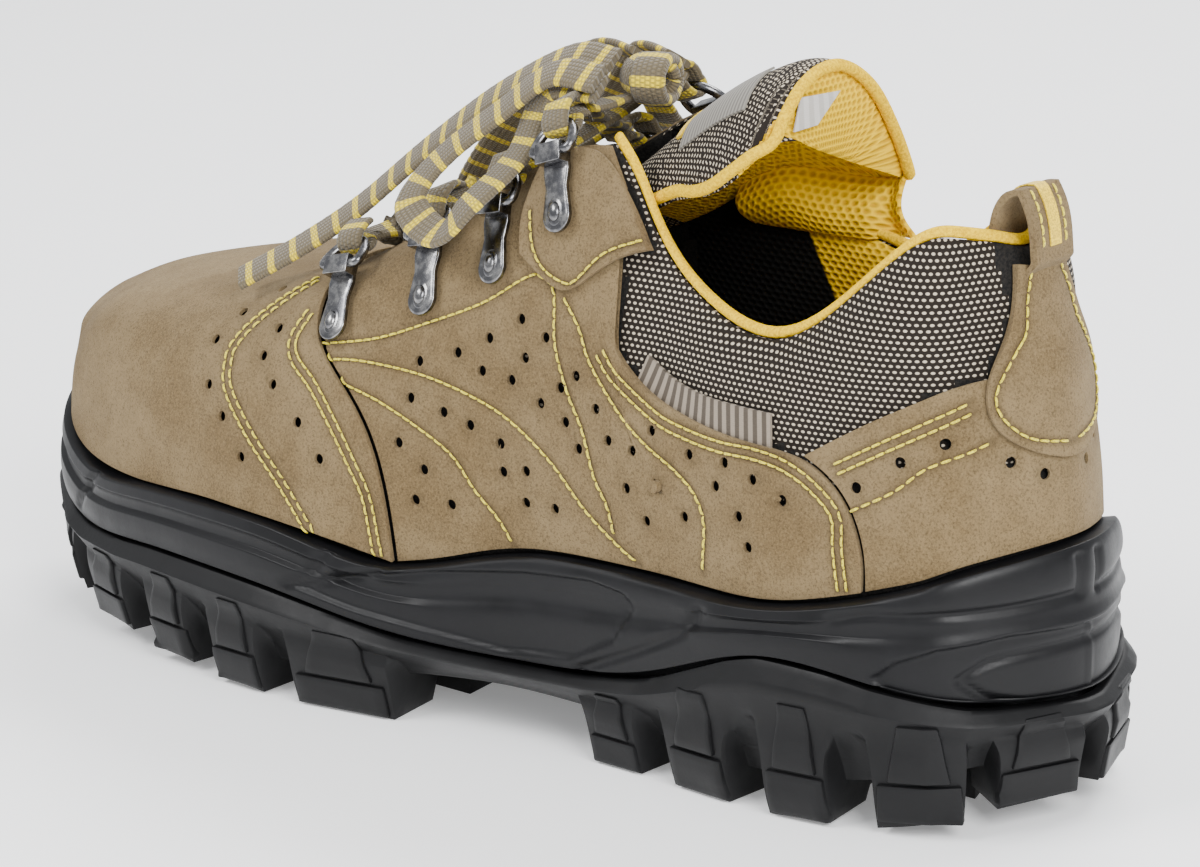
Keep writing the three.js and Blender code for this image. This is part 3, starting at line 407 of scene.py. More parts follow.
def smooth_copy(node, name, levels, sharp=40, bevel=0.0):
    """A CAD node's shape with its faces joined, subdivided, and its sharp edges kept and rounded."""
    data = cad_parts[node].data.copy()
    piece = bpy.data.objects.new(name, data)
    bpy.context.collection.objects.link(piece)
    pick_only(piece)
    bpy.ops.object.mode_set(mode="EDIT")
    bpy.ops.mesh.select_all(action="SELECT")
    bpy.ops.mesh.remove_doubles(threshold=0.00001)
    bpy.ops.mesh.tris_convert_to_quads(face_threshold=math.radians(50), shape_threshold=math.radians(70))
    bpy.ops.mesh.select_all(action="DESELECT")
    bpy.ops.mesh.select_mode(type="EDGE")
    bpy.ops.mesh.edges_select_sharp(sharpness=math.radians(sharp))
    bpy.ops.object.mode_set(mode="OBJECT")
    crease = data.attributes.new("crease_edge", "FLOAT", "EDGE")
    for edge in data.edges:
        crease.data[edge.index].value = 1.0 if edge.select else 0.0
    rounding = piece.modifiers.new("rounding", "SUBSURF")
    rounding.levels = rounding.render_levels = levels
    apply_all(piece)
    if bevel:
        rounded(piece, bevel, 2, 50)
    return piece


def surface_of(*pieces):
    points, faces = [], []
    for piece in pieces:
        start = len(points)
        points += [v.co.copy() for v in piece.data.vertices]
        faces += [[start + i for i in face.vertices] for face in piece.data.polygons]
    return BVHTree.FromPolygons(points, faces)


def curve_through(points, step):
    """Even steps along a smooth line through given points."""
    points = [Vector(p) for p in points]
    ends = [points[0] * 2 - points[1]] + points + [points[-1] * 2 - points[-2]]
    fine = []
    for a, b, c, d in zip(ends, ends[1:], ends[2:], ends[3:]):
        for i in range(24):
            u = i / 24
            fine.append(0.5 * (2 * b + (c - a) * u + (2 * a - 5 * b + 4 * c - d) * u * u
                               + (3 * b - a - 3 * c + d) * u ** 3))
    fine.append(points[-1])
    spaced, left = [fine[0]], step
    for here, there in zip(fine, fine[1:]):
        span = (there - here).length
        while span >= left > 0:
            here = here.lerp(there, left / span)
            spaced.append(here)
            span = (there - here).length
            left = step
        left -= span
    return spaced


def on_skin(surface, p):
    """The nearest place on a thin piece's outer side, and its outward normal."""
    near, normal, _, _ = surface.find_nearest(p)
    look = outward(near)
    way = normal if normal.dot(look) > 0 else -normal
    if way.dot(look) < 0.35:
        way = look
    hit, out, _, _ = surface.ray_cast(near + way * 0.006, -way, 0.012)
    return (hit, out) if hit and out.dot(way) > 0.2 else (near, way)


def laid_on(surface, points, step, mirrored=False):
    """A line of (place, outward normal) over a surface through points in millimetres."""
    side = -1 if mirrored else 1
    line = []
    for p in curve_through([Vector((x, y * side, z)) * MM for x, y, z in points], step * MM):
        line.append(on_skin(surface, p))
    return line


def outward(place):
    middle = Vector((min(max(place.x, -0.09), 0.1), 0, 0.05))
    return (place - middle).normalized()


def press(piece, lines, width, depth, mark="pressed_shade"):
    """Sinks the surface along lines by a soft trough, and marks where it did, for painted shade in the
    trough.
    """
    spots = [spot for line in lines for spot in line]
    tree = finder([place for place, _ in spots])
    tint = piece.data.attributes.get(mark) or piece.data.attributes.new(mark, "FLOAT", "POINT")
    normals = [v.normal.copy() for v in piece.data.vertices]
    for v in piece.data.vertices:
        _, i, far = tree.find(v.co)
        if far < 3 * width * MM and normals[v.index].dot(spots[i][1]) > 0.3:
            share = math.exp(-((far / (width * MM)) ** 2))
            v.co -= spots[i][1] * share * depth * MM
            tint.data[v.index].value = max(tint.data[v.index].value, share)
    piece.data.update()


def stitch_row(points, faces, line, pitch, length, radius):
    """Adds arched stitches along a laid line to a list of points and faces."""
    rings = [(-0.5, -0.5), (-0.34, 0.35), (0, 0.75), (0.34, 0.35), (0.5, -0.5)]
    places = [place for place, _ in line]
    step = sum((b - a).length for a, b in zip(places, places[1:])) / (len(places) - 1)
    stride = max(1, round(pitch * MM / step))
    for i in range(stride // 2, len(line) - stride // 2, stride):
        place, normal = line[i]
        ahead = (places[min(i + 2, len(places) - 1)] - places[max(i - 2, 0)]).normalized()
        across = ahead.cross(normal).normalized()
        start = len(points)
        for j, (along, lift) in enumerate(rings):
            thin = 0.55 if j in (0, 4) else 1
            for k in range(6):
                a = k * math.pi / 3
                rise = normal * (lift + math.sin(a) * thin) * radius * MM
                points.append(place + ahead * along * length * MM + rise
                              + across * math.cos(a) * thin * radius * MM)
        for j in range(4):
            for k in range(6):
                a, b = start + j * 6 + k, start + j * 6 + (k + 1) % 6
                faces.append((a, b, b + 6, a + 6))
        faces.append(tuple(start + k for k in reversed(range(6))))
        faces.append(tuple(start + 24 + k for k in range(6)))


def stitches(name, lines, material, pitch=2.55, length=2.15, radius=0.27):
    points, faces = [], []
    for line in lines:
        stitch_row(points, faces, line, pitch, length, radius)
    piece = new_mesh(name, points, faces)
    turn_faces_out(piece)
    return finish_piece(piece, "yellow", material, smooth=60)


def punch(piece, surface, spots, radius):
    """Cuts round holes through a piece at spots in millimetres, and once more where one stayed shut."""
    laid = [on_skin(surface, Vector(spot) * MM) for spot in spots]
    punch_once(piece, laid, radius)
    for again in range(3):
        now = surface_of(piece)
        shut = [(place, normal) for place, normal in laid
                if now.ray_cast(place + normal * 0.003, -normal, 0.0048)[0]]
        for i, spot in enumerate(shut):
            punch_once(piece, [spot], radius + 0.03 + 0.02 * again + 0.005 * i, 0.1 + 0.17 * again)


def punch_once(piece, laid, radius, turn=0.0):
    """Cuts away round pegs that stand through a piece at places already laid on it."""
    points, faces, count = [], [], 14
    for place, normal in laid:
        across = normal.orthogonal().normalized()
        other = normal.cross(across)
        start = len(points)
        for depth in (1.2, -3.0):
            for k in range(count):
                a = 2 * math.pi * k / count + turn
                aside = (across * math.cos(a) + other * math.sin(a)) * radius * MM
                points.append(place + normal * depth * MM + aside)
        faces += [(start + k, start + count + k, start + count + (k + 1) % count, start + (k + 1) % count)
                  for k in range(count)]
        faces.append(tuple(start + k for k in range(count)))
        faces.append(tuple(start + count + k for k in reversed(range(count))))
    cutter = new_mesh("punch", points, faces)
    turn_faces_out(cutter)
    cut = piece.modifiers.new("holes", "BOOLEAN")
    cut.operation, cut.solver, cut.object = "DIFFERENCE", "EXACT", cutter
    apply_all(piece)
    bpy.data.objects.remove(cutter)


def ripple(piece, height, size):
    """Very slight unevenness of hand-lasted leather."""
    for v in piece.data.vertices:
        v.co += outward(v.co) * noise.noise(v.co / (size * MM)) * height * MM
    piece.data.update()


def ribbon(name, line, facing, width, thick, steps=1.0, taper=None):
    """A flat woven band along points in metres, each end closed, with its own woven coordinates."""
    spine = curve_through(line, steps * MM)
    count = len(spine)
    section = [(-0.5, 0), (-0.47, 0.34), (-0.38, 0.5), (0, 0.56), (0.38, 0.5), (0.47, 0.34),
               (0.5, 0), (0.47, -0.34), (0.38, -0.5), (0, -0.56), (-0.38, -0.5), (-0.47, -0.34)]
    size = len(section)
    points, faces, along = [], [], [0.0]
    for i, here in enumerate(spine):
        ahead = (spine[min(i + 1, count - 1)] - spine[max(i - 1, 0)]).normalized()
        u = i / (count - 1)
        look = facing(u)
        across = ahead.cross(look).normalized()
        out = across.cross(ahead).normalized()
        w = width * MM * (taper(u) if taper else 1) * (1 + 0.02 * math.sin(i * 2.3))
        for a, h in section:
            points.append(here + across * a * w + out * h * thick * MM)
        if i:
            along.append(along[-1] + (here - spine[i - 1]).length)
    for i in range(count - 1):
        for j in range(size):
            a, b = i * size + j, i * size + (j + 1) % size
            faces.append((a, b, b + size, a + size))
    faces.append(tuple(reversed(range(size))))
    faces.append(tuple((count - 1) * size + j for j in range(size)))
    piece = new_mesh(name, points, faces)
    turn_faces_out(piece)
    woven_map(piece, [(run, a * width * MM) for run in along for a, _ in section])
    return piece, spine


def laid_band(name, surface, points, width, thick, slot, *materials, lift=0.15, across=8):
    """A flat band lying on a surface all over its width, with woven coordinates."""
    line = laid_on(surface, points, 0.9)
    places, uvs, along = [], [], 0
    for i, (place, normal) in enumerate(line):
        ahead = line[min(i + 1, len(line) - 1)][0] - line[max(i - 1, 0)][0]
        aside = ahead.cross(normal).normalized()
        along += (place - line[i - 1][0]).length if i else 0
        for j in range(across + 1):
            off = (j / across - 0.5) * width * MM
            near, out = on_skin(surface, place + aside * off)
            places.append(near + out * lift * MM)
            uvs.append((along, off))
    band = new_mesh(name, places, grid_faces(len(line), across))
    woven_map(band, uvs)
    if band.data.polygons[0].normal.dot(line[0][1]) < 0:
        band.data.flip_normals()
    wall = band.modifiers.new("wall", "SOLIDIFY")
    wall.thickness, wall.offset = thick * MM, 1
    apply_all(band)
    return finish_piece(band, slot, *materials)


def woven_map(piece, pairs):
    """Gives each of a piece's points its pair of woven coordinates, in metres."""
    uv = piece.data.uv_layers.new(name="weave")
    for loop in piece.data.loops:
        uv.data[loop.index].uv = pairs[loop.vertex_index]


def tube(curve, spine, radius, resolution, closed=False):
    """Turns a new curve into a round mesh along a line."""
    curve.data.splines.remove(curve.data.splines[0])
    spline = curve.data.splines.new("POLY")
    spline.points.add(len(spine) - 1)
    for point, place in zip(spline.points, spine):
        point.co = (*place, 1)
    spline.use_cyclic_u = closed
    curve.data.bevel_depth = radius * MM
    curve.data.bevel_resolution = resolution
    curve.data.use_fill_caps = not closed
    pick_only(curve)
    bpy.ops.object.convert(target="MESH")
    return bpy.context.object


def round_cord(name, line, radius):
    bpy.ops.curve.primitive_nurbs_path_add()
    path = bpy.context.object
    path.name = name
    return tube(path, curve_through(line, 1.2 * MM), radius, 2)


# Seams, in millimetres on the outer side. The inner side mirrors them.
VAMP_SEAMS = [
    ("toe seam", 2.1, [(-44, -30, 92), (-55, -39, 83), (-59, -43, 77), (-59, -45, 73), (-57, -47, 68),
                       (-49, -49, 60), (-38, -50, 50), (-31, -49, 41), (-30, -49, 38.5)]),
    ("rear seam", 2.1, [(-39, -38, 87), (-41, -41, 81), (-39, -43, 77), (-32, -44, 72), (-25, -46, 65),
                        (-19, -46, 57), (-15, -46, 50), (-13, -46, 39), (-12.5, -46, 36.5)]),
]
QUARTER_SEAMS = [
    ("under the rings", 0, [(-33, -41, 81), (-18, -39, 84), (-4, -36, 89), (10, -34, 95), (20, -31, 101),
                            (24, -31, 103)]),
    ("long sweep", 0, [(-31, -42, 78), (-20, -41, 79), (-3, -39, 78), (11, -38, 75), (21, -37, 71),
                       (32, -37, 64), (42, -37, 55), (51, -37, 49), (57, -37, 46)]),
    ("short sweep", 0, [(-26, -43, 74), (-14, -42, 71), (-3, -42, 67), (6, -41, 62), (12, -40, 55),
                        (18, -39, 49), (22, -38, 43)]),
    ("front of waist", 0, [(24, -31, 103), (29, -31, 100), (31, -33, 89), (35, -34, 80), (40, -35, 72),
                           (44, -37, 63), (48, -37, 57), (50, -37, 50)]),
    ("rear of waist", 0, [(32, -31, 99), (37, -31, 93), (41, -32, 86), (50, -34, 77), (58, -35, 72),
                          (67, -36, 68), (73, -37, 64), (76, -38, 58), (75, -38, 47)]),
    ("top edge", 2.1, [(43, -32, 89), (48, -32, 84), (60, -33, 78), (68, -33, 76), (78, -34, 75),
                       (88, -34, 75), (96, -34, 74), (103, -34, 71), (109, -35, 66), (110, -36, 59),
                       (111, -36, 50)]),
]
COUNTER_SEAMS = [
    ("top edge", 2.1, [(108, -33, 75), (117, -31, 80), (126, -26, 85), (132, -18, 89)]),
    ("middle", 0, [(112, -34, 67), (121, -31, 72), (127, -28, 77), (133, -21, 80), (136, -16, 82)]),
]
FACING_SEAM = [(20, -26, 115), (23, -29, 108), (27, -30, 104), (33, -30, 102), (36, -29, 103), (41, -27, 108),
               (46, -26, 111), (52, -25, 113)]
PATCH_SEAM = [(134, -4, 114), (134, -6, 108), (134, -7, 102), (134, -10, 98), (133, -14, 92), (134, -15, 88),
              (136, -13, 84), (139, -9, 81), (142, 0, 79)]
VAMP_HOLES = [(-55, -20, 89), (-55, -31, 88), (-62, -37, 83), (-66, -42, 77), (-64, -47, 68), (-58, -49, 62),
              (-51, -50, 54), (-47, -40, 82), (-49, -43, 76), (-44, -46, 71), (-35, -47, 64), (-28, -48, 57)]
QUARTER_HOLES = [
    (-5, -39, 81), (5, -37, 84), (13, -35, 88), (21, -33, 93), (28, -33, 90), (12, -37, 81), (23, -34, 85),
    (20, -36, 80), (37, -33, 83), (33, -34, 80), (-6, -41, 73), (3, -40, 71), (10, -39, 69), (18, -38, 66),
    (28, -35, 76), (43, -34, 77), (35, -35, 73), (-8, -43, 63), (47, -35, 71), (39, -36, 68), (19, -39, 60),
    (25, -38, 61), (-1, -43, 58), (-3, -44, 51), (6, -42, 51), (25, -38, 54), (33, -38, 54), (54, -35, 70),
    (59, -34, 75), (70, -35, 72), (80, -35, 72), (88, -36, 70), (53, -37, 62), (62, -36, 64), (78, -37, 67),
    (96, -36, 67), (59, -37, 56), (70, -37, 59), (85, -38, 62), (88, -38, 56),
]
COUNTER_HOLES = [(113, -33, 72), (122, -30, 78), (130, -25, 82), (138, -14, 77), (141, -7, 73.5)]


def doubled(surface, gap, points, mirrored):
    """One line, or two lines gap millimetres apart, along given points."""
    middle = laid_on(surface, points, 0.4, mirrored)
    if not gap:
        return [middle]
    rows = []
    for side in (-0.5, 0.5):
        row = []
        for i, (place, normal) in enumerate(middle):
            ahead = middle[min(i + 1, len(middle) - 1)][0] - middle[max(i - 1, 0)][0]
            aside = ahead.cross(normal).normalized() * side * gap * MM
            row.append(on_skin(surface, place + aside))
        rows.append(row)
    return rows


def suede_panel(node, seams, holes, sides):
    """A suede piece with its stitched troughs, stitches and punched holes."""
    panel = smooth_copy(node, f"suede_{node}", 3, bevel=0.0003)
    ripple(panel, 0.28, 17)
    surface = surface_of(panel)
    rows = []
    for mirrored in sides:
        for _, gap, points in seams:
            rows += doubled(surface, gap, points, mirrored)
    if rows:
        press(panel, rows, 0.85, 0.34)
        stitches(f"stitches_{node}", rows, yellow_thread)
    if holes:
        spots = [(x, -y if mirrored else y, z) for mirrored in sides for x, y, z in holes]
        laid = [[on_skin(surface, Vector(spot) * MM)] for spot in spots]
        press(panel, laid, 1.9, 0.3)
        punch(panel, surface, spots, 1.22)
    return finish_piece(panel, "suede", suede, replaces=[node])


# The sole

def around(place):
    """A point's distance round the sole from its middle, in millimetres: the toe is at the low end."""
    x, y = place.x / MM, abs(place.y) / MM
    if x > 95:
        return 95 + 45 * math.atan2(x - 95, y)
    if x < -95:
        return -95 - 45 * math.atan2(-95 - x, y)
    return x


def inside(outline, s, z):
    """How deep a point lies in an outline on the sole's side, in millimetres, or below 0 outside it."""
    within, near = False, 1e9
    for (s0, z0), (s1, z1) in zip(outline, outline[1:] + outline[:1]):
        if (z0 > z) != (z1 > z) and s < (s1 - s0) * (z - z0) / (z1 - z0) + s0:
            within = not within
        length = math.hypot(s1 - s0, z1 - z0) or 1
        u = min(1, max(0, ((s - s0) * (s1 - s0) + (z - z0) * (z1 - z0)) / length ** 2))
        near = min(near, math.hypot(s - s0 - u * (s1 - s0), z - z0 - u * (z1 - z0)))
    return near if within else -near


# Outlines and lines on the sole's side: distance round the sole and height, in millimetres.
SOLE_HOLLOWS = [
    ("waist panel", 1.3, [(-33, 28), (-20, 32), (0, 36), (26, 39.5), (45, 41), (55, 40), (57, 37), (52, 29),
                          (40, 23), (20, 21), (0, 23), (-18, 25)]),
    ("heel panel", 1.5, [(121, 34), (126, 38), (134, 41), (148, 42.5), (166, 42), (166, 24), (151, 22.5),
                         (134, 27), (124, 31)]),
]
SOLE_LINES = [
    ("toe fold, upper", 1.0, 1.0, [(-24, 37), (-29, 31.5), (-35, 28)]),
    ("toe fold, lower", 1.0, 1.0, [(-11, 34), (-24, 31), (-35, 28)]),
    ("crescent", 1.0, 1.2, [(77, 41), (73, 36), (68, 33), (60, 29), (51, 25), (42, 21)]),
    ("heel oval", 0.9, 1.0, [(166, 38.5), (157, 38.5), (148, 38), (143, 37), (138, 34), (143, 30), (151, 27),
                             (158, 26), (166, 25.5)]),
    ("heel step", 0.9, 1.0, [(163, 56), (163, 48)]),
    ("heel shelf", 1.1, 0.9, [(112, 45), (121, 47), (135, 48), (148, 48), (162, 48.5)]),
    ("bumper", 1.0, 0.9, [(-103, 42), (-109, 36), (-113, 30)]),
]


def carved_sole(piece):
    """Presses the side panels and folds of the moulded midsole into its wall."""
    normals = [v.normal.copy() for v in piece.data.vertices]
    for v, normal in zip(piece.data.vertices, normals):
        s, z = around(v.co), v.co.z / MM
        out = Vector((v.co.x - min(max(v.co.x, -0.095), 0.095), v.co.y, 0)).normalized()
        if normal.dot(out) < 0.25:
            continue
        sink = 0
        for _, depth, outline in SOLE_HOLLOWS:
            sink = max(sink, depth * min(1, max(0, inside(outline, s, z) + 0.4)))
        groove = 0
        for _, width, depth, line in SOLE_LINES:
            near = min(segment_gap(a, b, s, z) for a, b in zip(line, line[1:]))
            groove = max(groove, depth * math.exp(-((near / width) ** 2)))
        sink += groove
        v.co -= out * sink * MM
    piece.data.update()


def segment_gap(a, b, s, z):
    run, rise = b[0] - a[0], b[1] - a[1]
    u = min(1, max(0, ((s - a[0]) * run + (z - a[1]) * rise) / (run * run + rise * rise)))
    return math.hypot(s - a[0] - u * run, z - a[1] - u * rise)


# Blocks moulded on the lugs' faces: rear and front corners in plan, foot and top, all in millimetres.
LUG_BLOCKS = [
    ("heel_back", (148, -5), (141, -22), 5.8, 25),
    ("heel_corner", (136, -29), (121, -38.5), 2.8, 25),
    ("heel_rear", (109, -41), (95, -43), 0.3, 26),
    ("heel_middle", (83, -43), (68, -42.5), 0.0, 24),
    ("heel_breast", (57, -42), (44, -42), 0.0, 17),
    ("ball_rear", (-10, -50), (-34, -54), 0.0, 19),
    ("ball_middle", (-46, -55), (-60, -55.5), 0.6, 21.5),
    ("ball_front", (-70, -54), (-84, -53), 2.4, 22.5),
    ("toe_side", (-95, -51), (-110, -47), 5.0, 22),
    ("toe_corner", (-120, -43), (-135, -32), 9.5, 27),
    ("toe_front", (-142, -20), (-148, -6), 14.2, 33),
]


def lug_block(name, wall, rear, front, foot, top, narrow, thick, mirrored):
    """A raised block on a lug's face, following the wall behind it and narrowing towards its top."""
    side = -1 if mirrored else 1
    rear, front = (Vector((x, y * side, 0)) * MM for x, y in (rear, front))
    run = front - rear
    out = Vector((run.y, -run.x, 0)).normalized()
    if out.dot(rear + front) < 0:
        out.negate()
    columns, rows = 8, 6
    places, depths = [], []
    for i in range(columns + 1):
        for j in range(rows + 1):
            up = j / rows
            place = rear + run * (0.5 + (i / columns - 0.5) * (1 - narrow * up))
            place.z = (foot + (top - foot) * up) * MM
            struck = wall.ray_cast(place + out * 0.02, -out, 0.05)[0]
            places.append(place)
            depths.append((struck - place).dot(out) if struck else None)
    found = sorted(d for d in depths if d is not None)
    usual = found[len(found) // 2] if found else 0
    for j in range(rows + 1):
        level = sorted(d for d in depths[j::rows + 1] if d is not None and abs(d - usual) < 0.004)
        middle = level[len(level) // 2] if level else usual
        for k in range(j, len(depths), rows + 1):
            if depths[k] is None or abs(depths[k] - middle) > 0.0014:
                depths[k] = middle
    skins = ([], [])
    for k, (place, depth) in enumerate(zip(places, depths)):
        skins[0].append(place + out * (depth + thick * (1 - 0.25 * (k % (rows + 1)) / rows) * MM))
        skins[1].append(place + out * (depth - 1.5 * MM))
    size = (columns + 1) * (rows + 1)
    faces = []
    for i in range(columns):
        for j in range(rows):
            a = i * (rows + 1) + j
            faces.append((a, a + rows + 1, a + rows + 2, a + 1))
            faces.append(tuple(size + k for k in (a, a + 1, a + rows + 2, a + rows + 1)))
    rim = [i * (rows + 1) for i in range(columns)] + [columns * (rows + 1) + j for j in range(rows)]
    rim += [i * (rows + 1) + rows for i in range(columns, 0, -1)] + list(range(rows, 0, -1))
    for a, b in zip(rim, rim[1:] + rim[:1]):
        faces.append((b, a, a + size, b + size))
    piece = new_mesh(name, skins[0] + skins[1], faces)
    turn_faces_out(piece)
    rounded(piece, 0.0005, 2, 50)
    return finish_piece(piece, "rubber", black_rubber)


def sole():
    outsole = smooth_copy("outsole", "lugged_outsole", 2, sharp=34, bevel=0.0005)
    finish_piece(outsole, "rubber", black_rubber, replaces=["outsole"])
    wall = surface_of(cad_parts["outsole"])
    for mirrored in (False, True):
        side = "inner" if mirrored else "outer"
        for name, rear, front, foot, top in LUG_BLOCKS:
            waist = foot + 0.42 * (top - foot)
            lug_block(f"lug_foot_{name}_{side}", wall, rear, front, foot + 0.4, waist - 0.35, 0.02, 1.1,
                      mirrored)
            inset = [Vector(a).lerp(Vector(b), 0.13) for a, b in ((rear, front), (front, rear))]
            lug_block(f"lug_face_{name}_{side}", wall, *inset, waist + 0.35, top, 0.35, 0.8, mirrored)
    midsole = smooth_copy("midsole", "moulded_midsole", 3, sharp=42, bevel=0.0006)
    carved_sole(midsole)
    finish_piece(midsole, "foam", black_midsole, replaces=["midsole"])
    insole = smooth_copy("insole", "footbed_insole", 1, sharp=50)
    finish_piece(insole, "footbed", black_footbed, replaces=["insole"])


# The upper

# The rim is drawn to the piping from within RIM_PULL. The mesh shows above BACKING_TOP and behind
# BACKING_FRONT, apart from a strip under the heel patch. All are millimetres.
RIM_PULL, BACKING_TOP, BACKING_FRONT, STRIP_START, STRIP_HALF = 4.6, 66, 20, 128, 9
COLLAR_LINE = [(-60, -40), (0, -38), (40, -31), (70, -33), (100, -33), (122, -25), (133, -12), (135, 0),
               (133, 12), (122, 24), (100, 31), (70, 31), (40, 30), (0, 36), (-60, 38)]


def collar_coords():
    """Woven coordinates round the collar: the way along its line, and the height."""
    line = curve_through([Vector((x, y, 0)) * MM for x, y in COLLAR_LINE], 1.0 * MM)
    tree = finder(line)

    def place(co):
        _, i, _ = tree.find((co.x, co.y, 0))
        a, b = line[max(i - 1, 0)], line[min(i + 1, len(line) - 1)]
        ahead = (b - a).normalized()
        return (i * MM + (Vector((co.x, co.y, 0)) - line[i]).dot(ahead), co.z)
    return place


def upper_body(panels):
    body = smooth_copy("upper", "lined_upper", 2, sharp=40)
    rim = surface_of(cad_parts["collar_piping"])
    for v in body.data.vertices:
        near, _, _, far = rim.find_nearest(v.co)
        v.co += (near - v.co) * max(0, 1 - far / (RIM_PULL * MM))
    body.data.update()
    cover = surface_of(*panels)
    for face in body.data.polygons:
        middle = face.center
        facing = face.normal.dot(outward(middle))
        if facing > 0:
            over, under = (cover.ray_cast(middle, way, far)[0]
                           for way, far in ((face.normal, 0.006), (-face.normal, 0.004)))
            # the black backing lies under the panels, and is painted shade where it shows in rims at panel
            # edges and in the strip beside the heel patch
            edge = middle.x < BACKING_FRONT * MM or middle.z < BACKING_TOP * MM
            strip = middle.x > STRIP_START * MM and abs(middle.y) < STRIP_HALF * MM
            face.material_index = 1 if over or under or edge or strip else 0
        else:
            # inner faces: golden lining behind BACKING_FRONT; in front of it, a near-black lining that stands
            # as painted shade deep in the toe
            face.material_index = 2 if middle.x > BACKING_FRONT * MM else 3
    round_collar = collar_coords()
    woven_map(body, [round_collar(v.co) for v in body.data.vertices])
    finish_piece(body, "mesh", collar_mesh, backing_and_edge_shade, collar_lining, painted_shade_lining, replaces=["upper"],
                 smooth=60)
    piping = smooth_copy("collar_piping", "collar_binding", 2, sharp=80)
    finish_piece(piping, "yellow", golden_binding, replaces=["collar_piping"], smooth=80)


# The loop's foot is tucked forwards under the patch, from TUCK_TOP down over TUCK_RISE, in millimetres.
TUCK_TOP, TUCK_RISE, TUCK = 116.5, 4, 3.4


def pull_loop():
    loop = smooth_copy("pull_loop", "heel_pull_loop", 3, sharp=50, bevel=0.0003)
    for v in loop.data.vertices:
        tucked = min(1, max(0, (TUCK_TOP * MM - v.co.z) / (TUCK_RISE * MM)))
        v.co.x -= TUCK * MM * tucked * tucked * (3 - 2 * tucked)
    finish_piece(loop, "suede", suede, replaces=["pull_loop"])
    surface = surface_of(loop)
    path = [(136, 0, 112), (137.2, 0, 119), (137.4, 0, 125), (134.2, 0, 131), (129.8, 0, 128),
    (128.2, 0, 121)]
    for name, y in (("outer", -3.6), ("inner", 3.6)):
        line = laid_on(surface, [(x, y, z) for x, _, z in path[1:4]], 0.4)
        stitches(f"loop_stitches_{name}", [line], yellow_thread)
    laid_band("loop_band", surface, path[1:5], 3.4, 0.3, "yellow", golden_band)


# The tongue's middle line (x and height) and the edge of its padded end, in millimetres.
TONGUE_LINE = [(-68, 82.5), (-48, 84.5), (-25, 94.5), (2, 108.5), (25, 119), (40, 130), (52, 138.5),
               (64, 146), (75, 150.5), (80.5, 149.5)]
TONGUE_EDGE = [(47, -17.8, 119.5), (54.4, -19, 122.6), (61, -21.4, 123.8), (67.2, -22.9, 126),
               (73.2, -22.9, 130), (77.4, -21.4, 133.4), (80.6, -18.2, 136), (80.8, -14.4, 140.9),
               (80.8, -9, 146), (80.8, -2.7, 148.4), (80.8, 5, 147.8), (80.8, 13.7, 141.6),
               (80.8, 20.5, 131.4), (80.4, 25.4, 121.6), (78.4, 27.2, 120.6), (76.9, 28.6, 119.8),
               (73.2, 29.8, 119.1), (67.2, 29.3, 118.8), (61, 25.6, 119.8), (54.4, 19.8, 121.4)]


def tongue():
    pad = smooth_copy("tongue", "padded_tongue", 3, sharp=75)
    ripple(pad, 0.5, 21)
    line = curve_through([Vector((x, 0, z)) * MM for x, z in TONGUE_LINE], 1.0 * MM)
    tree = finder(line)

    def weave(co):
        """Across the tongue as an arc, and along it from its toe end and on over its rim."""
        spine, i, far = tree.find((co.x, 0, co.z))
        return 0.026 * math.atan2(co.y, co.z - spine.z + 0.024), i * MM + (far if co.x > 0.0785 else 0)

    woven_map(pad, [weave(v.co) for v in pad.data.vertices])
    for face in pad.data.polygons:
        under = face.normal.x * 0.75 - face.normal.z * 0.65 > 0.12
        face.material_index = 1 if under and face.center.x > 0.02 else 0
    finish_piece(pad, "mesh", tongue_mesh, golden_lining, replaces=["tongue"], smooth=60)
    edge = round_cord("tongue_binding", [Vector(p) * MM for p in TONGUE_EDGE], 1.35)
    finish_piece(edge, "yellow", golden_binding, smooth=80)
    surface = surface_of(pad)
    middle = [(48, -9, 135), (55, -9.5, 140), (62, -10, 144), (68, -10.4, 147)]
    laid_band("tongue_label", surface, middle, 15, 0.5, "mesh", grey_label)
    front = [(47, -12, 133), (46.6, -9, 134.5), (46.6, -5, 135.5), (47, -2, 136)]
    laid_band("label_edge", surface, front, 1.8, 0.6, "yellow", golden_band, lift=0.2)
    corners = [(81.5, -12.5, 137.2), (82.3, -6, 137.6), (82.0, 1.8, 143.4), (81.7, -10.4, 144)]
    tag = new_mesh("size_tag", [Vector(c) * MM for c in corners], [(0, 1, 2, 3)])
    pick_only(tag)
    bpy.ops.object.mode_set(mode="EDIT")
    bpy.ops.mesh.select_all(action="SELECT")
    bpy.ops.mesh.subdivide(number_cuts=5, fractal=0.25, seed=3)
    bpy.ops.object.mode_set(mode="OBJECT")
    woven_map(tag, [(v.co.y, v.co.z) for v in tag.data.vertices])
    wall = tag.modifiers.new("wall", "SOLIDIFY")
    wall.thickness = 0.4 * MM
    apply_all(tag)
    finish_piece(tag, "mesh", white_label, smooth=60)


# The soft gusset between the tongue's inner edge and the lining, in millimetres along the tongue.
GUSSET = [(40.3, 17.5, 115.2), (48.1, 17.2, 119.7), (54.4, 19.3, 121.6), (61, 25.1, 120.1), (67.2, 28.8, 119),
          (73.2, 29.3, 119.3), (76.9, 28.1, 120), (80, 25, 121.4)]
GUSSET_FOOT = 106


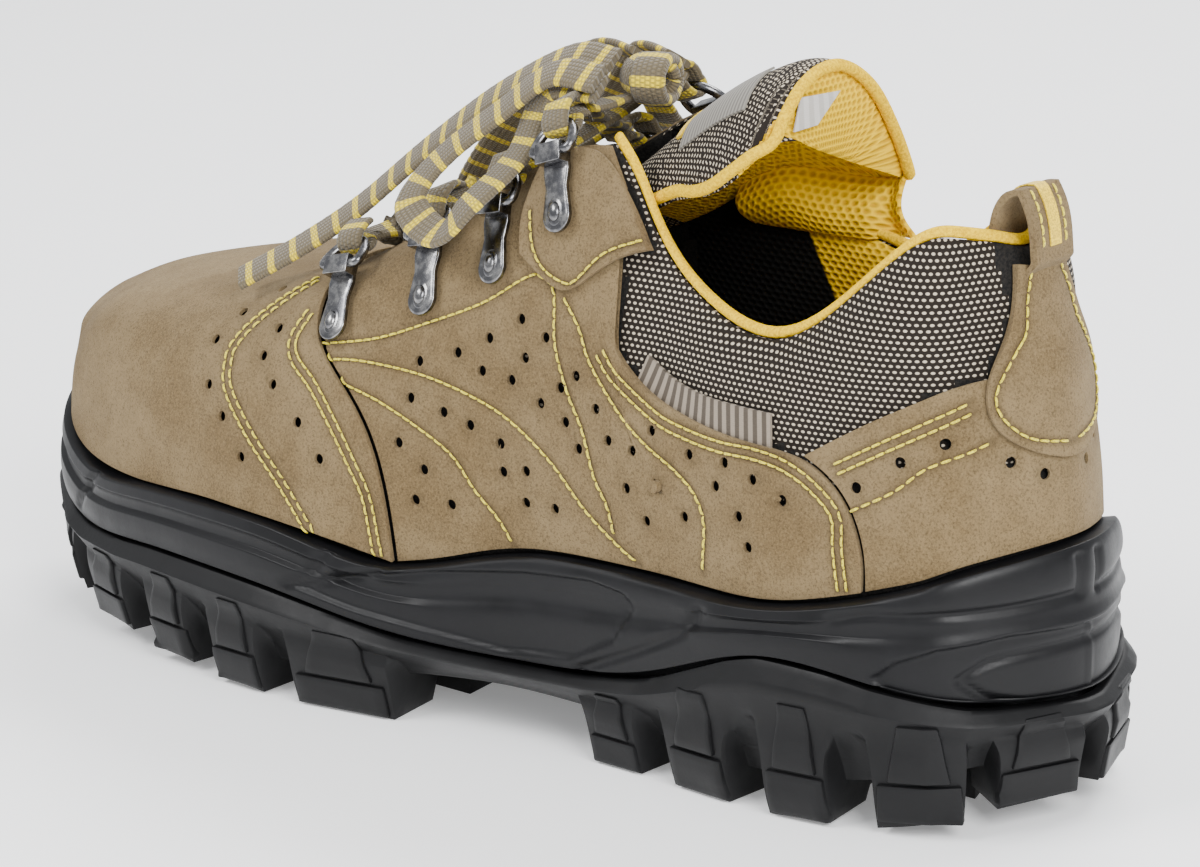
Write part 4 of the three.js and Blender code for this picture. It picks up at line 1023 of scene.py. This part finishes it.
def tongue_gusset(wall):
    edge = curve_through([Vector(p) * MM for p in GUSSET], 2.0 * MM)
    rows, places, uvs = 9, [], []
    for i, top in enumerate(edge):
        start = Vector((top.x, 0.004, GUSSET_FOOT * MM))
        foot = wall.ray_cast(start, Vector((0, 1, 0)), 0.08)[0] or Vector((top.x, 0.03, GUSSET_FOOT * MM))
        foot.y -= 0.0008
        for j in range(rows + 1):
            u = j / rows
            place = top.lerp(foot, u)
            place.y -= 0.004 * math.sin(math.pi * u)
            places.append(place)
            uvs.append((i * 0.002, u * (top - foot).length))
    sheet = new_mesh("tongue_gusset", places, grid_faces(len(edge), rows))
    woven_map(sheet, uvs)
    thick = sheet.modifiers.new("wall", "SOLIDIFY")
    thick.thickness, thick.offset = 1.4 * MM, 0
    soft = sheet.modifiers.new("soft", "SUBSURF")
    soft.levels = soft.render_levels = 1
    apply_all(sheet)
    finish_piece(sheet, "yellow", golden_lining, smooth=60)


def side_label(surface):
    line = [(54, -31, 86.5), (63, -32, 82.8), (73, -33, 81), (83, -33, 80.6), (92, -33, 80.4)]
    laid_band("side_label", surface, line, 7.5, 0.7, "mesh", striped_label, lift=0.6)


# Lace rings and lace

# Each ring's plate: the place of its fold in millimetres, and the ways up along it and out from it.
RINGS = {
    "lateral_1": ((-31.7, -33.6, 94.4), (-0.221, 0.558, 0.800), (-0.074, -0.827, 0.557)),
    "lateral_2": ((-7.8, -30.3, 103.6), (-0.209, 0.455, 0.866), (-0.024, -0.887, 0.461)),
    "lateral_3": ((10.5, -27.2, 112.8), (-0.209, 0.421, 0.883), (-0.063, -0.906, 0.418)),
    "lateral_4": ((26.3, -24.7, 125.7), (-0.309, 0.374, 0.874), (-0.050, -0.925, 0.377)),
    "medial_1": ((-31.9, 32.9, 94.3), (-0.204, -0.519, 0.830), (-0.003, 0.848, 0.530)),
    "medial_2": ((-8.2, 28.6, 102.9), (-0.218, -0.363, 0.906), (0.047, 0.923, 0.381)),
    "medial_3": ((10.4, 25.2, 112.5), (-0.220, -0.330, 0.918), (-0.025, 0.943, 0.332)),
    "medial_4": ((26.3, 23.3, 126.0), (-0.317, -0.297, 0.901), (-0.050, 0.954, 0.297)),
}
PLATE_LENGTH, PLATE_WIDTH, WIRE, RING_WIDTH, RING_REACH, RING_TILT = 15, 8.4, 1.1, 10, 7.5, -0.45
RING_SEAT = Vector((0, WIRE + 1.4, WIRE + 1.4))


def plate_frame(name):
    fold, up, out = (Vector(v) for v in RINGS[name])
    up.normalize()
    out.normalize()
    place = Matrix((up.cross(out), up, out)).transposed().to_4x4()
    place.translation = fold * MM
    return place


def lace_plate():
    """The riveted plate lying in its own plane: a drop-shaped blade, a raised oval rivet and a folded top."""
    half = PLATE_WIDTH / 2
    blunt = half * 0.9
    drop = [(-half * 0.8, 0.4), (-half * 0.86, -1.5), (-half * 0.7, -5.2)]
    for a in (math.pi + k * math.pi / 20 for k in range(21)):
        drop.append((blunt * math.cos(a), -PLATE_LENGTH + blunt + blunt * math.sin(a)))
    drop += [(half * 0.7, -5.2), (half * 0.86, -1.5), (half * 0.8, 0.4)]
    blade = new_mesh("blade", [(x * MM, y * MM, 0) for x, y in drop], [tuple(range(len(drop)))])
    pick_only(blade)
    bpy.ops.object.mode_set(mode="EDIT")
    bpy.ops.mesh.select_all(action="SELECT")
    bpy.ops.mesh.extrude_region_move(TRANSFORM_OT_translate={"value": (0, 0, 1.1 * MM)})
    bpy.ops.mesh.inset(thickness=0.7 * MM, depth=0.25 * MM)
    bpy.ops.mesh.select_all(action="SELECT")
    bpy.ops.mesh.normals_make_consistent(inside=False)
    bpy.ops.object.mode_set(mode="OBJECT")
    parts = [blade]
    middle = -PLATE_LENGTH + half * 1.05
    for radius, height, lift in ((2.95, 0.6, 1.1), (1.9, 1.0, 1.55)):
        bpy.ops.mesh.primitive_uv_sphere_add(segments=20, ring_count=10, radius=MM,
                                             location=(0, middle * MM, lift * MM))
        button = bpy.context.object
        button.scale = (radius * 0.82, radius * 1.15, height)
        bpy.ops.object.transform_apply(location=True, rotation=True, scale=True)
        parts.append(button)
    bpy.ops.mesh.primitive_cube_add(size=MM, location=(0, 2.0 * MM, 2.0 * MM))
    fold = bpy.context.object
    fold.scale = (PLATE_WIDTH * 0.84, 4.4, 3.8)
    bpy.ops.object.transform_apply(location=True, rotation=True, scale=True)
    parts.append(fold)
    plate = joined(parts, "blade")
    rounded(plate, 0.00045, 3, 40)
    return plate


def lace_ring():
    half = RING_WIDTH / 2
    loop = [(-half, 0), (-half * 0.3, 0), (half * 0.3, 0), (half, 0), (half * 0.98, RING_REACH * 0.5),
            (half * 0.55, RING_REACH * 0.92), (0, RING_REACH), (-half * 0.55, RING_REACH * 0.92),
            (-half * 0.98, RING_REACH * 0.5)]
    tilt = Matrix.Rotation(RING_TILT, 3, "X")
    points = [tilt @ Vector((x, y, 0)) + RING_SEAT for x, y in loop]
    closed = points + points[:3]
    spine = curve_through([p * MM for p in closed], 0.7 * MM)
    start = min(range(len(spine) // 2), key=lambda i: (spine[i] - points[1] * MM).length)
    stop = min(range(len(spine) // 2, len(spine)), key=lambda i: (spine[i] - points[1] * MM).length)
    bpy.ops.curve.primitive_nurbs_circle_add()
    return tube(bpy.context.object, spine[start:stop], WIRE, 3, closed=True)


def hardware():
    plate, ring = lace_plate(), lace_ring()
    for name in RINGS:
        place = plate_frame(name)
        for source, kind in ((plate, "plate"), (ring, "ring")):
            piece = bpy.data.objects.new(f"nickel_{kind}_{name}", source.data.copy())
            bpy.context.collection.objects.link(piece)
            piece.data.transform(place)
            piece.data.update()
            finish_piece(piece, "steel", dark_nickel, replaces=[f"lace_{kind}_{name}"], smooth=50)
    bpy.data.objects.remove(plate)
    bpy.data.objects.remove(ring)


def ring_turn(name, arrive):
    """Points of a lace turning round a ring's free side, from above it to below it, or the other way."""
    place = plate_frame(name)
    reach = Vector((0, math.cos(RING_TILT), math.sin(RING_TILT)))
    lift = Vector((0, -math.sin(RING_TILT), math.cos(RING_TILT)))
    tip = RING_SEAT + reach * RING_REACH
    turn = [(4.5, 1.9), (0.6, 2.3), (-1.9, 1.2), (-2.2, -0.8), (0.4, -2.3), (4.5, -2.2)]
    points = []
    for a, b in turn:
        look = place.to_3x3() @ (lift * b + reach * (a if a < 0 else 0))
        points.append((place @ ((tip + reach * a + lift * b) * MM), look.normalized()))
    return points if arrive else points[::-1]


def over_tongue(a, b, sag):
    """The lace's way from one ring to another, sagging a little in the middle."""
    (p, _), (q, _) = a, b
    up = Vector((0, 0, 1))
    return [(p.lerp(q, u) - up * sag * math.sin(u * math.pi) * MM, up) for u in (0.3, 0.5, 0.7)]


def lace_through(name, route):
    places = [p for p, _ in route]
    looks = [n for _, n in route]
    gaps = [0.0]
    for a, b in zip(places, places[1:]):
        gaps.append(gaps[-1] + (b - a).length)

    def facing(u):
        s = u * gaps[-1]
        i = max(k for k in range(len(gaps)) if gaps[k] <= s + 1e-9)
        j = min(i + 1, len(gaps) - 1)
        share = 0 if j == i else (s - gaps[i]) / (gaps[j] - gaps[i])
        return looks[i].lerp(looks[j], share).normalized()
    return ribbon(name, places, facing, 7.4, 1.5, steps=0.8)[0]


def lacing():
    parts = []
    for start, sag in (("lateral", 2.4), ("medial", 0.2)):
        other = "medial" if start == "lateral" else "lateral"
        names = [f"{(start, other)[i % 2]}_{i + 1}" for i in range(4)]
        route = []
        for i, name in enumerate(names):
            turn = ring_turn(name, True)
            if route:
                route += over_tongue(route[-1], turn[0], sag if i < 3 else sag * 0.6)
            route += turn
        knot = Vector((27, 2 if start == "lateral" else -2, 136.5)) * MM
        route += [(route[-1][0].lerp(knot, 0.55), Vector((0, 0, 1))), (knot, Vector((-0.3, 0, 1)))]
        parts.append(lace_through(f"lace_{start}_start", route))
    bar_from, bar_to = (ring_turn(f"{side}_1", False) for side in ("lateral", "medial"))
    bar = [bar_from[0]] + over_tongue(bar_from[0], bar_to[0], 1.0) + [bar_to[0]]
    parts.append(lace_through("lace_bar", bar))
    whole = joined(parts, "lace_through_rings")
    finish_piece(whole, "lace", striped_lace, replaces=["lacing"], smooth=60)


# The bow, as shares of the height of the instep: forwards, outwards and up. The inner side mirrors it.
INSTEP = 131
BOW_LOOP = [(0.208, 0.096, 1.084), (0.124, 0.115, 1.086), (0.037, 0.153, 1.020), (-0.037, 0.198, 0.955),
            (-0.069, 0.244, 0.901), (-0.055, 0.275, 0.867), (0.023, 0.290, 0.841), (0.071, 0.267, 0.892),
            (0.100, 0.176, 0.962), (0.112, 0.111, 1.057), (0.209, 0.090, 1.066)]
LACE_END = [(0.184, 0.034, 1.098), (0.097, 0.044, 1.099), (-0.045, 0.069, 1.026), (-0.185, 0.099, 0.925),
            (-0.315, 0.145, 0.813), (-0.404, 0.206, 0.743), (-0.495, 0.267, 0.684)]


def free_lace(name, table, mirrored, node):
    side = 1 if mirrored else -1
    points = [Vector((x, side * y, z)) * INSTEP * MM for x, y, z in table]
    look = Vector((-0.1, 0.55 * side, 0.8))
    piece, spine = ribbon(name, points, lambda u: look, 8, 1.7)
    finish_piece(piece, "lace", striped_lace, replaces=[node], smooth=60)


def knot():
    """Two turns of the lace, one leaning each way, round the middle of the bow."""
    middle = Vector((31.2, 0, 140.4))
    parts = []
    for name, tilt, radius, shift in (("front", 0.35, 5.4, 1), ("back", -0.5, 4.7, -1.5)):
        path, looks = [], []
        for i in range(13):
            a = i / 12 * 2 * math.pi
            spin = Matrix.Rotation(tilt, 3, "Z")
            step = Vector((shift, radius * math.cos(a), radius * 0.8 * math.sin(a)))
            path.append((spin @ step + middle) * MM)
            looks.append(spin @ Vector((0, math.cos(a), math.sin(a))))
        turn = ribbon(f"knot_{name}", path, lambda u, looks=looks: looks[min(12, round(u * 12))], 8, 2.6)
        parts.append(turn[0])
    finish_piece(joined(parts, "bow_knot"), "lace", striped_lace, replaces=["lace_knot"], smooth=60)


def bow():
    for mirrored, side in ((False, "lateral"), (True, "medial")):
        free_lace(f"bow_loop_{side}", BOW_LOOP, mirrored, f"lace_loop_{side}")
        free_lace(f"lace_tail_{side}", LACE_END, mirrored, f"lace_end_{side}")
    knot()


suede = suede_finish("taupe_suede", (0.04, 0.026, 0.011), (0.138, 0.093, 0.043), (0.2, 0.143, 0.073))
collar_mesh, tongue_mesh = (
    dotted_mesh_finish(f"dotted_{part}_mesh", 1.22, 1.5, 0.56, 0.85, (0.006, 0.0042, 0.003),
                       (0.6, 0.52, 0.4))
    for part in ("collar", "tongue"))
golden_lining = knit_finish("golden_knit_lining", (0.5, 0.26, 0.0), (0.92, 0.6, 0.0))
# the collar lining turns to painted shade deeper inside the shoe
collar_lining = knit_finish("golden_collar_lining", (0.5, 0.26, 0.0), (0.92, 0.6, 0.0), shade_depth=92)
golden_binding = fleece_finish("golden_binding", (0.6, 0.35, 0.0), (0.85, 0.55, 0.0))
golden_band = thread_finish("golden_band", (0.5, 0.32, 0.0), (0.85, 0.58, 0.0))
# black backing under the panels, also painted shade where it shows at their edges
backing_and_edge_shade = fleece_finish("backing_and_edge_shade", (0.008, 0.008, 0.008), (0.02, 0.018, 0.016))
# near-black lining used as painted shade deep in the toe
painted_shade_lining = fleece_finish("painted_shade_lining", (0.006, 0.006, 0.006), (0.018, 0.017, 0.016))
black_rubber = rubber_finish("black_rubber", (0.0035, 0.0035, 0.0038), 0.36)
black_midsole = rubber_finish("black_midsole", (0.0035, 0.0035, 0.004), 0.3)
black_footbed = rubber_finish("black_footbed", (0.008, 0.008, 0.008), 0.3)
dark_nickel = steel_finish()
yellow_thread = thread_finish("yellow_thread", (0.42, 0.33, 0.0), (0.78, 0.64, 0.02))
striped_lace = lace_finish()
striped_label = label_finish("striped_side_label", (0.05, 0.036, 0.022), (0.22, 0.18, 0.135), 2.4)
grey_label = label_finish("grey_tongue_label", (0.1, 0.09, 0.075), (0.21, 0.195, 0.165), 1.2)
white_label = label_finish("white_size_tag", (0.4, 0.38, 0.35), (0.5, 0.48, 0.45), 3.0)

photo_camera()
studio()
bow()
lacing()
hardware()
sole()

panels = [suede_panel("vamp", VAMP_SEAMS, VAMP_HOLES, (False, True))]
for mirrored, side in ((False, "lateral"), (True, "medial")):
    panels.append(suede_panel(f"quarter_{side}", QUARTER_SEAMS, QUARTER_HOLES, (mirrored,)))
    panels.append(suede_panel(f"facing_{side}", [("edge", 0, FACING_SEAM)], [], (mirrored,)))
panels.append(suede_panel("counter", COUNTER_SEAMS, COUNTER_HOLES, (False, True)))
panels.append(suede_panel("heel_patch", [("edge", 0, PATCH_SEAM)], [], (False, True)))
upper_body(panels)
pull_loop()
tongue()
tongue_gusset(surface_of(bpy.data.objects["lined_upper"]))
side_label(surface_of(bpy.data.objects["lined_upper"]))
